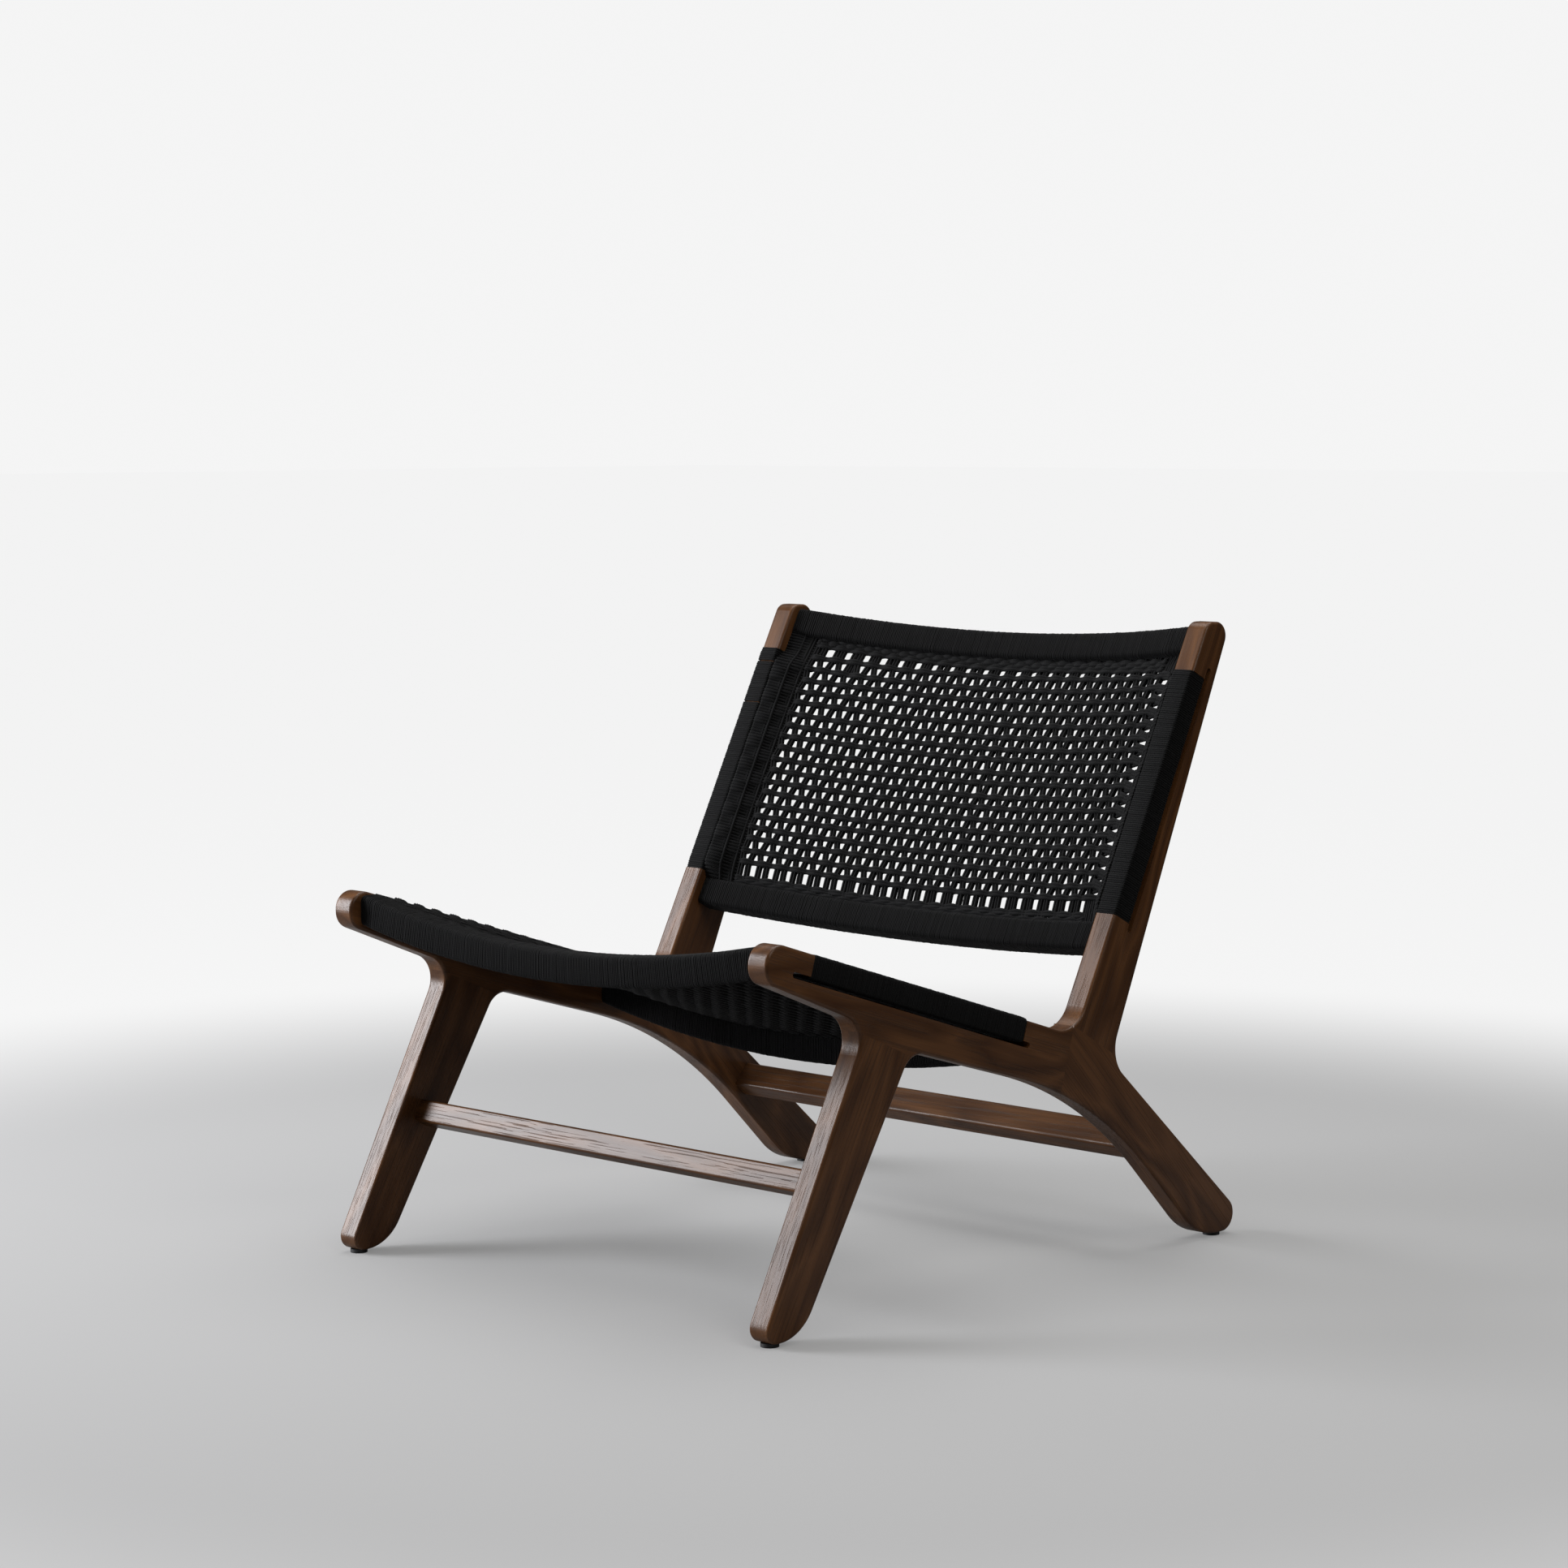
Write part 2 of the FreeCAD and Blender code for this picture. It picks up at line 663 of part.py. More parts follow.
def behind_post(up_post):
    """The end centre of a back bar: a distance up the post's front edge."""
    depth = size("back_bar_inset") + size("cord_diameter") + size("bar_depth") / 2.0
    return post_datum + post_up * up_post + square_to(post_up) * depth


back_lean = 90.0 - size("post_front_rake")
seat_front_bar = Crossbar(
    "seat_front_crossbar",
    below_rail(size("bar_depth") / 2.0 + size("seat_front_bar_inset"),
               size("seat_front_bar_drop")),
    0.0, "seat_bar_bow", "bar_height", "bar_depth", "tenon_shoulder")
seat_rear_bar = Crossbar(
    "seat_rear_crossbar",
    below_rail(post_foot.x - nose_high.x - size("seat_rear_bar_ahead_of_post"),
               size("seat_rear_bar_drop")),
    0.0, "seat_bar_bow", "bar_height", "bar_depth", "slot_side_shoulder")
back_low_bar = Crossbar(
    "back_bottom_crossbar", behind_post(size("back_low_bar_place")),
    back_lean, "back_low_bar_bow", "bar_depth", "bar_height", "tenon_shoulder")
back_high_bar = Crossbar(
    "back_top_crossbar", behind_post((tip_front - post_datum).Length - size("back_high_bar_below_tip")),
    back_lean, "back_high_bar_bow", "bar_depth", "bar_height", "tenon_shoulder")
front_stretcher = Stretcher("front_stretcher", leg_front, 1.0, size("front_leg_front_rake"))
rear_stretcher = Stretcher("rear_stretcher", hind_back, -1.0,
                           size("rear_leg_back_rake") - 90.0)


def web(label, bar_a, bar_b):
    """A woven panel between two wrapped bars, level with the face that is leaned on."""
    half = SPAN / 2.0 - size("soft_gap")
    sections = []
    for name, bar, side in (("start", bar_a, 1.0), ("end", bar_b, -1.0)):
        top = bar.top + size("cord_diameter")
        sketch = doc.addObject("Sketcher::SketchObject", "%s_%s" % (label, name))
        sketch.addGeometry(bowed_outline(top, top - size("web_thickness"), size(bar.bow), half),
                           False)
        clear = size(bar.across) / 2.0 + size("cord_diameter") + size("soft_gap")
        turn = FreeCAD.Rotation(V(1, 0, 0), bar.lean + 90.0)
        away = FreeCAD.Rotation(V(1, 0, 0), bar.lean).multVec(V(0, clear * side, 0))
        sketch.Placement = FreeCAD.Placement(V(0, bar.spot.x, bar.spot.y) + away, turn)
        sections.append(sketch)
    loft = doc.addObject("Part::Loft", label)
    loft.Label = label
    loft.Sections = sections
    loft.Solid = True
    loft.Ruled = True
    return loft


# ---------------------------------------------------------------- dowels, glides and nails
def rod(name, diameter, centre, direction, length):
    """A round rod in the middle of the right-hand board's thickness."""
    tool = doc.addObject("Part::Cylinder", name)
    tool.Radius = diameter / 2.0
    tool.Height = length
    axis = V(0, direction.x, direction.y)
    middle = V(size("chair_width") / 2.0 - size("board_thickness") / 2.0, centre.x, centre.y)
    tool.Placement = FreeCAD.Placement(middle - axis * (length / 2.0),
                                       FreeCAD.Rotation(V(0, 0, 1), axis))
    return tool


# Each glue line and where its two dowels sit along it, as a share of its length.
GLUE_LINES = [
    ("front", meet_front, meet_back, (0.25, 0.75)),
    ("arch", meet_post, meet_arch, (0.28, 0.75)),
    ("post", meet_post, meet_notch, (0.42, 0.80)),
]
dowels = {}
dowel_holes = {}
for name, p, q, shares in GLUE_LINES:
    across = square_to((q - p).normalize())
    dowels[name] = []
    dowel_holes[name] = []
    for count, share in enumerate(shares, start=1):
        centre = p + (q - p) * share
        room = size("joint_clearance")
        label = "%s_dowel_%d" % (name, count)
        dowels[name].append(rod(label, size("dowel_diameter"), centre, across,
                                size("dowel_length")))
        dowel_holes[name].append(rod(label + "_hole", size("dowel_diameter") + room, centre,
                                     across, size("dowel_length") + size("dowel_hole_spare_depth")))

foot_front = (toe_front_round.end + heel_front_round.start) * 0.5
foot_rear = (toe_rear_round.end + heel_rear_round.start) * 0.5
upward = point(0, 1)


def glide(name, foot):
    spot = point(foot.x, SOLE / 2.0)
    return rod(name, size("glide_diameter"), spot, upward, SOLE)


def nail(name, foot, grow):
    """A nail whose head end is level with the glide's middle."""
    low = SOLE / 2.0
    spot = point(foot.x, low + size("nail_length") / 2.0)
    return rod(name, size("nail_diameter") + grow, spot, upward, size("nail_length") + grow)


# ---------------------------------------------------------------- build the right frame
glue = {name: (p, q) for name, p, q, shares in GLUE_LINES}
rail_body = side_board("rail_board", outline_rail(), [glue["front"], glue["arch"]])
leg_body = side_board("front_leg_board", outline_front_leg(), [glue["front"]])
hind_body = side_board("rear_leg_board", outline_rear_leg(), [glue["arch"], glue["post"]])
post_body = side_board("post_board", outline_post(), [glue["post"]])
cut_strip(rail_body, rail_strip, size("rail_slot_lead"), size("rail_slot_over_run"))
cut_strip(post_body, post_strip, size("post_slot_lead"), size("post_slot_over_run"))

nails = [nail("front_nail", foot_front, 0.0), nail("rear_nail", foot_rear, 0.0)]
nail_holes = [nail("front_nail_hole", foot_front, size("joint_clearance")),
              nail("rear_nail_hole", foot_rear, size("joint_clearance"))]
right = {
    "seat_rail": cut("right_seat_rail", rail_body, group("rail_holes", [
        seat_front_bar.mortise(), seat_rear_bar.mortise(),
        *dowel_holes["front"], *dowel_holes["arch"]])),
    "front_leg": cut("right_front_leg", leg_body, group("front_leg_holes", [
        front_stretcher.mortise(), dowel_holes["front"][0], dowel_holes["front"][1],
        nail_holes[0]])),
    "rear_leg": cut("right_rear_leg", hind_body, group("rear_leg_holes", [
        rear_stretcher.mortise(), *dowel_holes["arch"], *dowel_holes["post"], nail_holes[1]])),
    "back_post": cut("right_back_post", post_body, group("post_holes", [
        back_low_bar.mortise(), back_high_bar.mortise(), *dowel_holes["post"]])),
    "rail_wrap": strip_wrap("right_rail_wrap", rail_strip),
    "post_wrap": strip_wrap("right_post_wrap", post_strip),
    "dowels": group("right_dowels", [*dowels["front"], *dowels["arch"], *dowels["post"]]),
    "front_glide": cut("right_front_glide", glide("front_glide_disc", foot_front), nail_holes[0]),
    "rear_glide": cut("right_rear_glide", glide("rear_glide_disc", foot_rear), nail_holes[1]),
    "glide_nails": group("right_glide_nails", nails),
}
nodes = list(right.values())
nodes += [mirrored("left_" + name, item) for name, item in right.items()]

# ---------------------------------------------------------------- build what spans the chair
for bar in (seat_front_bar, seat_rear_bar, back_low_bar, back_high_bar):
    nodes.append(bar.wood())
    nodes.append(bar.wrap())
nodes.append(front_stretcher.wood())
nodes.append(rear_stretcher.wood())
nodes.append(web("seat_web", seat_front_bar, seat_rear_bar))
nodes.append(web("back_web", back_low_bar, back_high_bar))
doc.recompute()

# ---------------------------------------------------------------- check and export
for item in doc.Objects:
    if "Invalid" in item.State or "Error" in item.State:
        raise ValueError("%s did not compute" % item.Label)
for item in nodes:
    if item.Shape.isNull() or not item.Shape.isValid() or item.Shape.Volume <= 0:
        raise ValueError("%s has no valid solid" % item.Label)
os.makedirs("parts", exist_ok=True)
for item in nodes:
    item.Shape.exportStep("parts/%s.step" % item.Label)
    box = item.Shape.BoundBox
    print("%-24s %8.1f cm3  x %7.1f %7.1f  y %7.1f %7.1f  z %6.1f %6.1f"
          % (item.Label, item.Shape.Volume / 1000.0, box.XMin, box.XMax, box.YMin, box.YMax,
             box.ZMin, box.ZMax))
print("%d pieces" % len(nodes))
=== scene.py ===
# %% [markdown]
# # A low lounge chair with a cord-woven seat and back
# The frame below comes packed and fixed: flat wooden side frames, two stretchers and four
# bowed crossbars. Blender's work is the look of it. The wood keeps its solids and gets a
# stained open-grain finish. The plain panels and sleeves that stood for the cord are replaced
# by real cord: turns wound side by side, and a twined weave that is open enough to see through.

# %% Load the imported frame
import math

import bpy
import numpy as np
from mathutils import Matrix, Vector


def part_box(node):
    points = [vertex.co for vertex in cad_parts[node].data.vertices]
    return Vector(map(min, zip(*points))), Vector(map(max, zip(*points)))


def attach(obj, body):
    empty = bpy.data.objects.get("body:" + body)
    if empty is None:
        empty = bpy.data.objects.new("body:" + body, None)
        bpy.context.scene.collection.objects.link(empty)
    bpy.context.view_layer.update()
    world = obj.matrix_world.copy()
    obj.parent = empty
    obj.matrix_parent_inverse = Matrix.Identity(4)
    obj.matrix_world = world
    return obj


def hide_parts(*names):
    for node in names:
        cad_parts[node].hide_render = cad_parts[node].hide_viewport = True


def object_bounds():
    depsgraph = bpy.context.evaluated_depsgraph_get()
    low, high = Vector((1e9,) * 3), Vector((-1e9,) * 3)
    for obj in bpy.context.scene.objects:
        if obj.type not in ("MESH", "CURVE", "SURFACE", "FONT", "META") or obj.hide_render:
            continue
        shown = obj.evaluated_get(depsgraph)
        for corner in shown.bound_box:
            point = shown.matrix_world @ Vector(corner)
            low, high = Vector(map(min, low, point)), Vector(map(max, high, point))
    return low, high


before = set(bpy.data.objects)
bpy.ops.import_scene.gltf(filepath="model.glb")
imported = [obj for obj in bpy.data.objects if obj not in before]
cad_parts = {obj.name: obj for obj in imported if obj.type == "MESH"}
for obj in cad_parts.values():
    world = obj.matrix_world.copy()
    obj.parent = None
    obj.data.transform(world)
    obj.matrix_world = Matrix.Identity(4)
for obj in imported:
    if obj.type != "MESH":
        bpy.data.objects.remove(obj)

cad_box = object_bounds()
scene = bpy.context.scene
print("frame box", cad_box)

# %% [markdown]
# The side frames are drawn in the Y-Z plane, so a direction there is all that each board
# needs: the rail falls towards the back, the posts and the front legs lean back, and the rear
# legs sprawl. Two small vectors per board, one along it and one into it, place every turn of
# cord later on. They are worked out from angles rather than typed in, which keeps them exact.

# %% Directions of the boards
RAIL_SLOPE = 17.56       # degrees below level, towards the back
POST_RAKE = 27.52        # degrees back from upright
X = np.array([1.0, 0.0, 0.0])


def in_side_plane(y, z):
    return np.array([0.0, y, z])


slope = math.radians(RAIL_SLOPE)
rake = math.radians(POST_RAKE)
rail_run = in_side_plane(math.cos(slope), -math.sin(slope))
rail_inward = in_side_plane(-math.sin(slope), -math.cos(slope))
post_run = in_side_plane(math.sin(rake), math.cos(rake))
post_inward = in_side_plane(math.cos(rake), -math.sin(rake))
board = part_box("right_seat_rail")
HALF_SPAN = board[0][0]          # the inner face of a side frame
HALF_WIDTH = board[1][0]         # and its outer face
print("clear span between the side frames %.4f m" % (2 * HALF_SPAN))

# %% [markdown]
# ## The camera and the room
# A chair this low reads best from just above seat height with a long lens, which keeps the
# two side frames nearly parallel. The camera is placed by its own three axes instead of by
# a target object, so that the slight roll of a hand-held view is kept too.

# %% Camera
RIGHT = (0.72287, 0.69098, -0.00231)
UP = (-0.06355, 0.06981, 0.99553)
FORWARD = (-0.68805, 0.71950, -0.09437)
CAMERA_PLACE = (2.8726, -3.02055, 0.9101)
SENSOR = 36.0            # millimetres, as the lens
LENS = 86.73

camera_data = bpy.data.cameras.new("studio_camera")
camera_data.sensor_width = SENSOR
camera_data.lens = LENS
camera = bpy.data.objects.new("studio_camera", camera_data)
scene.collection.objects.link(camera)
axes = Matrix((RIGHT, UP, tuple(-c for c in FORWARD))).transposed().to_4x4()
camera.matrix_world = Matrix.Translation(CAMERA_PLACE) @ axes
scene.camera = camera
print("camera", tuple(round(c, 3) for c in camera.location))

# %% [markdown]
# Every material is drawn by nodes. A few helpers add a node, feed it and hand back its
# output, so that a material reads as a short list of steps.

# %% Helpers for node trees
def new_material(name):
    """A material, its node tree and its Principled shader."""
    made = bpy.data.materials.new(name)
    made.use_nodes = True
    return made, made.node_tree, made.node_tree.nodes["Principled BSDF"]


def socket(group, name, direction, kind="NodeSocketFloat", value=None):
    made = group.interface.new_socket(name=name, in_out=direction, socket_type=kind)
    if value is not None:
        made.default_value = value


def add(tree, kind, **values):
    """A node with its properties and the plain values of its inputs set by name."""
    node = tree.nodes.new(kind)
    for name, value in values.items():
        if hasattr(node, name):
            setattr(node, name, value)
        else:
            node.inputs[name.replace("_", " ")].default_value = value
    return node


def maths(tree, operation, *values):
    """A Math node fed by sockets or plain numbers; gives its output socket."""
    node = add(tree, "ShaderNodeMath", operation=operation)
    for entry, value in zip(node.inputs, values):
        if isinstance(value, (int, float)):
            entry.default_value = value
        else:
            tree.links.new(value, entry)
    return node.outputs["Value"]


def mapped(tree, vector, **values):
    """A vector moved, turned and scaled by a Mapping node."""
    mapping = add(tree, "ShaderNodeMapping", **values)
    tree.links.new(vector, mapping.inputs["Vector"])
    return mapping.outputs["Vector"]


def steps(tree, factor, stops):
    """A colour ramp through (place, colour) stops; gives its colour output."""
    ramp = tree.nodes.new("ShaderNodeValToRGB")
    while len(ramp.color_ramp.elements) < len(stops):
        ramp.color_ramp.elements.new(0.5)
    for element, (place, colour) in zip(ramp.color_ramp.elements, stops):
        element.position = place
        element.color = (*colour, 1)
    tree.links.new(factor, ramp.inputs["Fac"])
    return ramp.outputs["Color"]


# %% [markdown]
# The room is a pale floor that fades into a white surround, as a studio's curved sweep does.
# The sweep could be modelled, but its bend would show from the side. A flat floor whose paint
# fades away with the distance from the chair looks the same from all round.

# %% Floor
FLOOR_REACH = 60.0
FLOOR_NEAR = (0.29, 0.29, 0.29, 1)
FLOOR_FAR = (0.02, 0.02, 0.02, 1)
FADE_FROM = 1.1          # metres from the middle of the chair
FADE_TO = 2.1
GLOW_NEAR = 0.20         # evens out the shadows near the chair
GLOW_FAR = 0.89

floor_mesh = bpy.data.meshes.new("floor")
floor_corners = [(-FLOOR_REACH, -FLOOR_REACH, 0), (FLOOR_REACH, -FLOOR_REACH, 0),
                 (FLOOR_REACH, FLOOR_REACH, 0), (-FLOOR_REACH, FLOOR_REACH, 0)]
floor_mesh.from_pydata(floor_corners, [], [(0, 1, 2, 3)])
floor = bpy.data.objects.new("floor", floor_mesh)
scene.collection.objects.link(floor)

# %% Floor paint
floor_paint, tree, paint = new_material("floor_paint")
spot = add(tree, "ShaderNodeTexCoord")
away = add(tree, "ShaderNodeVectorMath", operation="LENGTH")
tree.links.new(spot.outputs["Object"], away.inputs[0])
fade = add(tree, "ShaderNodeMapRange", interpolation_type="SMOOTHSTEP",
           From_Min=FADE_FROM, From_Max=FADE_TO)
tree.links.new(away.outputs["Value"], fade.inputs["Value"])
grey = add(tree, "ShaderNodeMix", data_type="RGBA", A=FLOOR_NEAR, B=FLOOR_FAR)
tree.links.new(fade.outputs["Result"], grey.inputs["Factor"])
tree.links.new(grey.outputs["Result"], paint.inputs["Base Color"])
glow = add(tree, "ShaderNodeMapRange", To_Min=GLOW_NEAR, To_Max=GLOW_FAR)
tree.links.new(fade.outputs["Result"], glow.inputs["Value"])
looked_at = add(tree, "ShaderNodeLightPath")
white = maths(tree, "MULTIPLY", glow.outputs["Result"], looked_at.outputs["Is Camera Ray"])
tree.links.new(white, paint.inputs["Emission Strength"])
paint.inputs["Emission Color"].default_value = (1, 1, 1, 1)
paint.inputs["Roughness"].default_value = 0.9
paint.inputs["Specular IOR Level"].default_value = 0.1
floor_mesh.materials.append(floor_paint)
print("the floor fades from %.1f to %.1f m" % (FADE_FROM, FADE_TO))

# %% [markdown]
# One broad soft box from the front left makes the edges facing it glow, a weaker one on the
# right opens the shadows, and an overhead panel draws the top edges. Small lamps further off
# would light the chair as brightly, but big ones close by give the soft shadows of a studio.

# %% Lights
MIDDLE = Vector((0.0, 0.0, 0.35))


def soft_box(name, place, width, height, power, tint=(1.0, 1.0, 1.0)):
    """A rectangular lamp that faces the middle of the chair."""
    data = bpy.data.lights.new(name, "AREA")
    data.shape = "RECTANGLE"
    data.size = width
    data.size_y = height
    data.energy = power
    data.color = tint
    lamp = bpy.data.objects.new(name, data)
    scene.collection.objects.link(lamp)
    lamp.location = place
    lamp.rotation_euler = (lamp.location - MIDDLE).to_track_quat("Z", "Y").to_euler()


soft_box("key_box", (-2.75, -2.2, 1.35), 1.5, 2.4, 190, (0.955, 0.965, 1.0))
soft_box("fill_box", (2.8, -0.6, 2.9), 1.6, 1.6, 30, (1.0, 0.96, 0.92))
soft_box("overhead_box", (-0.4, 0.6, 3.4), 3.0, 3.0, 80)

# %% [markdown]
# The surround looks white but gives little light. If it lit the chair as brightly as it looks,
# it would wash out the shadows and lift the black cord to grey. So the camera's own rays meet
# one strength, and all other rays meet a weaker one.

# %% Surround
SURROUND_LIGHT = 0.09    # what lights the chair
SURROUND_SEEN = 0.91     # what is seen behind it

world = bpy.data.worlds.new("white_surround")
world.use_nodes = True
tree = world.node_tree
surround = tree.nodes["Background"]
surround.inputs["Color"].default_value = (1, 1, 1, 1)
path = add(tree, "ShaderNodeLightPath")
strength = add(tree, "ShaderNodeMapRange", To_Min=SURROUND_LIGHT, To_Max=SURROUND_SEEN)
tree.links.new(path.outputs["Is Camera Ray"], strength.inputs["Value"])
tree.links.new(strength.outputs["Result"], surround.inputs["Strength"])
scene.world = world
scene.view_settings.view_transform = "Standard"
print("surround:", world.name)

# %% [markdown]
# ## Stained wood
# The frame is an open-pored hardwood under a dark brown satin stain. Four things make it
# read as wood: broad bands that wander along the board, fine growth rings round the heart of
# the tree, fibres, and short dark pores where the stain has pooled. The pores gather in the
# early wood of each ring. Wood could be a picture laid on each face, but its lines would break
# at every edge. A pattern in space runs right through a board, as in sawn wood. One node group
# draws it for every board, from a coordinate whose Z runs along the grain.

# %% Wood grain group
BAND_SCALE = 26.0                       # how closely the broad bands follow each other
HEART = (74.0, 55.0, 0.0)               # how far off the heart of the tree lies, in rings
RING_SCALE = (1200.0, 1200.0, 14.0)     # rings per metre across the grain and along it
RING_WANDER = 26.0                      # how many rings the bands shift the fine ones
PORE_LIMIT = 0.250                      # pores anywhere
EARLY_WOOD = 0.26                       # and more of them in the early wood of a ring
FIBRE_HEIGHT = 0.35                     # in depths of a pore

grain = bpy.data.node_groups.new("open_grain", "ShaderNodeTree")
socket(grain, "Vector", "INPUT", "NodeSocketVector")
socket(grain, "Band Scale", "INPUT", value=BAND_SCALE)
for name in ("Bands", "Fibres", "Pores", "Height"):
    socket(grain, name, "OUTPUT")
entry = add(grain, "NodeGroupInput")
leave = add(grain, "NodeGroupOutput")


def streaks(along, across, detail, roughness):
    """Noise drawn out along the grain, by its scales along and across it."""
    noise = add(grain, "ShaderNodeTexNoise", Scale=1.0, Detail=detail, Roughness=roughness)
    squeezed = mapped(grain, entry.outputs["Vector"], Scale=(across, across, along))
    grain.links.new(squeezed, noise.inputs["Vector"])
    return noise.outputs["Fac"]


wander = streaks(1.6, 7.0, 3.0, 0.5)
broad = maths(grain, "MULTIPLY", wander, entry.outputs["Band Scale"])
bands = maths(grain, "PINGPONG", broad, 1.0)
heart = add(grain, "ShaderNodeVectorMath", operation="LENGTH")
grain.links.new(mapped(grain, entry.outputs["Vector"], Location=HEART, Scale=RING_SCALE),
                heart.inputs[0])
rings = maths(grain, "MULTIPLY_ADD", wander, RING_WANDER, heart.outputs["Value"])
fine_rings = maths(grain, "PINGPONG", rings, 1.0)
fibres = streaks(9.0, 420.0, 4.0, 0.65)
specks = streaks(11.0, 780.0, 2.0, 0.5)
limit = maths(grain, "MULTIPLY_ADD", fine_rings, EARLY_WOOD, PORE_LIMIT)
pores = maths(grain, "LESS_THAN", specks, limit)
height = maths(grain, "SUBTRACT", maths(grain, "MULTIPLY", fibres, FIBRE_HEIGHT), pores)
for name, value in (("Bands", bands), ("Fibres", fibres), ("Pores", pores),
                    ("Height", height)):
    grain.links.new(value, leave.inputs[name])
print("grain group:", len(grain.nodes), "nodes")

# %% [markdown]
# Each board is cut with the grain along its length, so each needs its own copy of the
# material, turned to its own direction. A Mapping node shifts and turns the object
# coordinate before the group sees it; the shift keeps two boards from showing one pattern.

# %% Stained wood material
STAIN = ((0.15, (0.054, 0.0200, 0.0065)), (0.5, (0.096, 0.0390, 0.0130)),
         (0.85, (0.156, 0.066, 0.0230)))
POOLED_STAIN = (0.018, 0.009, 0.005, 1)
POOLING = 0.32           # how much of it shows in a pore
BAND_TONE = 0.45         # how much of the tone comes from the bands, and from the fibres
FIBRE_TONE = 0.55
SATIN = 0.24             # roughness of the finish, and what fibres and pores add to it
FIBRE_DULL = 0.16
PORE_DULL = 0.24


def stained_wood(name, rotation, shift):
    """Wood whose grain lies along Z after the rotation, with its pattern shifted."""
    made, tree, shader = new_material(name)
    where = add(tree, "ShaderNodeTexCoord")
    turned = mapped(tree, where.outputs["Object"], Location=(shift, shift * 0.7, shift * 1.3),
                    Rotation=rotation)
    wood = add(tree, "ShaderNodeGroup", node_tree=grain)
    tree.links.new(turned, wood.inputs["Vector"])
    fibres = wood.outputs["Fibres"]
    pores = wood.outputs["Pores"]

    tone = maths(tree, "MULTIPLY", wood.outputs["Bands"], BAND_TONE)
    both = maths(tree, "ADD", tone, maths(tree, "MULTIPLY", fibres, FIBRE_TONE))
    pooled = add(tree, "ShaderNodeMix", data_type="RGBA", B=POOLED_STAIN)
    tree.links.new(steps(tree, both, STAIN), pooled.inputs["A"])
    tree.links.new(maths(tree, "MULTIPLY", pores, POOLING), pooled.inputs["Factor"])
    tree.links.new(pooled.outputs["Result"], shader.inputs["Base Color"])
    dull = maths(tree, "MULTIPLY_ADD", fibres, FIBRE_DULL, SATIN)
    tree.links.new(maths(tree, "MULTIPLY_ADD", pores, PORE_DULL, dull),
                   shader.inputs["Roughness"])
    bump = add(tree, "ShaderNodeBump", Strength=0.35, Distance=0.00018)
    tree.links.new(wood.outputs["Height"], bump.inputs["Height"])
    tree.links.new(bump.outputs["Normal"], shader.inputs["Normal"])
    shader.inputs["Specular IOR Level"].default_value = 0.30
    return made


# %% [markdown]
# A side frame is four boards, so each gets the lean of its own length, and the left boards a
# further shift, because no two boards are alike. The stretchers and the crossbars run across
# the chair, so their grain is turned to X.

# %% Boards and bars
BOARDS = {"seat_rail": (90 + RAIL_SLOPE, 0.3), "front_leg": (29.0, 1.1),
          "rear_leg": (-44.0, 2.3), "back_post": (26.0, 3.7)}     # lean and shift
LEFT_SHIFT = 5.3
TO_X = (0, math.radians(-90), 0)
CROSSWISE = ["front_stretcher", "rear_stretcher", "seat_front_crossbar", "seat_rear_crossbar",
             "back_top_crossbar", "back_bottom_crossbar"]


def give(node, finish):
    """One finish for a whole solid of the frame."""
    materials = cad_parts[node].data.materials
    materials.clear()
    materials.append(finish)


for part, (lean, shift) in BOARDS.items():
    for side, more in (("right", 0.0), ("left", LEFT_SHIFT)):
        node = "%s_%s" % (side, part)
        give(node, stained_wood("stain_" + node, (math.radians(lean), 0, 0), shift + more))
for count, node in enumerate(CROSSWISE):
    give(node, stained_wood("stain_" + node, TO_X, 8.1 + 1.7 * count))
print("stained boards:", 2 * len(BOARDS) + len(CROSSWISE))

# %% [markdown]
# ## Black cord
# The cord is a thin twisted paper cord, dyed black. Each cord carries two numbers in its
# mesh: where a point lies around and along the cord, and a tint of its own. The twist is
# drawn from the first, so its slanted plies follow every bend, and the second lets one turn
# be a shade greyer than the next, as cord from one reel never is quite even.

# %% Twisted cord group
PLIES = 3.0
LAY = 2600.0             # radians of twist in a metre

twist = bpy.data.node_groups.new("twisted_cord", "ShaderNodeTree")
socket(twist, "Around", "INPUT", "NodeSocketVector")
socket(twist, "Plies", "INPUT", value=PLIES)
socket(twist, "Lay", "INPUT", value=LAY)
socket(twist, "Height", "OUTPUT")
socket(twist, "Fuzz", "OUTPUT")
entry = add(twist, "NodeGroupInput")
leave = add(twist, "NodeGroupOutput")
parts = add(twist, "ShaderNodeSeparateXYZ")
twist.links.new(entry.outputs["Around"], parts.inputs[0])
angle = maths(twist, "ARCTAN2", parts.outputs["Y"], parts.outputs["X"])
turned = maths(twist, "MULTIPLY", angle, entry.outputs["Plies"])
run = maths(twist, "MULTIPLY", parts.outputs["Z"], entry.outputs["Lay"])
ply = maths(twist, "SINE", maths(twist, "ADD", turned, run))
twist.links.new(maths(twist, "MULTIPLY_ADD", ply, 0.5, 0.5), leave.inputs["Height"])
fuzz = add(twist, "ShaderNodeTexNoise", Scale=2600.0, Detail=2.0, Roughness=0.7)
where = add(twist, "ShaderNodeTexCoord")
twist.links.new(where.outputs["Object"], fuzz.inputs["Vector"])
twist.links.new(fuzz.outputs["Fac"], leave.inputs["Fuzz"])
print("cord group:", len(twist.nodes), "nodes")

# %% [markdown]
# The cord is black, but a pure black would hide its turns from one another. The colour runs
# between two near-blacks with the cord's own tint and a fine fuzz. It is rough, mirrors very
# little, and has a trace of sheen from its paper fibres.

# %% Black cord material
DARK_TURN = (0.0026, 0.0026, 0.0027)
PALE_TURN = (0.0066, 0.0066, 0.0069)


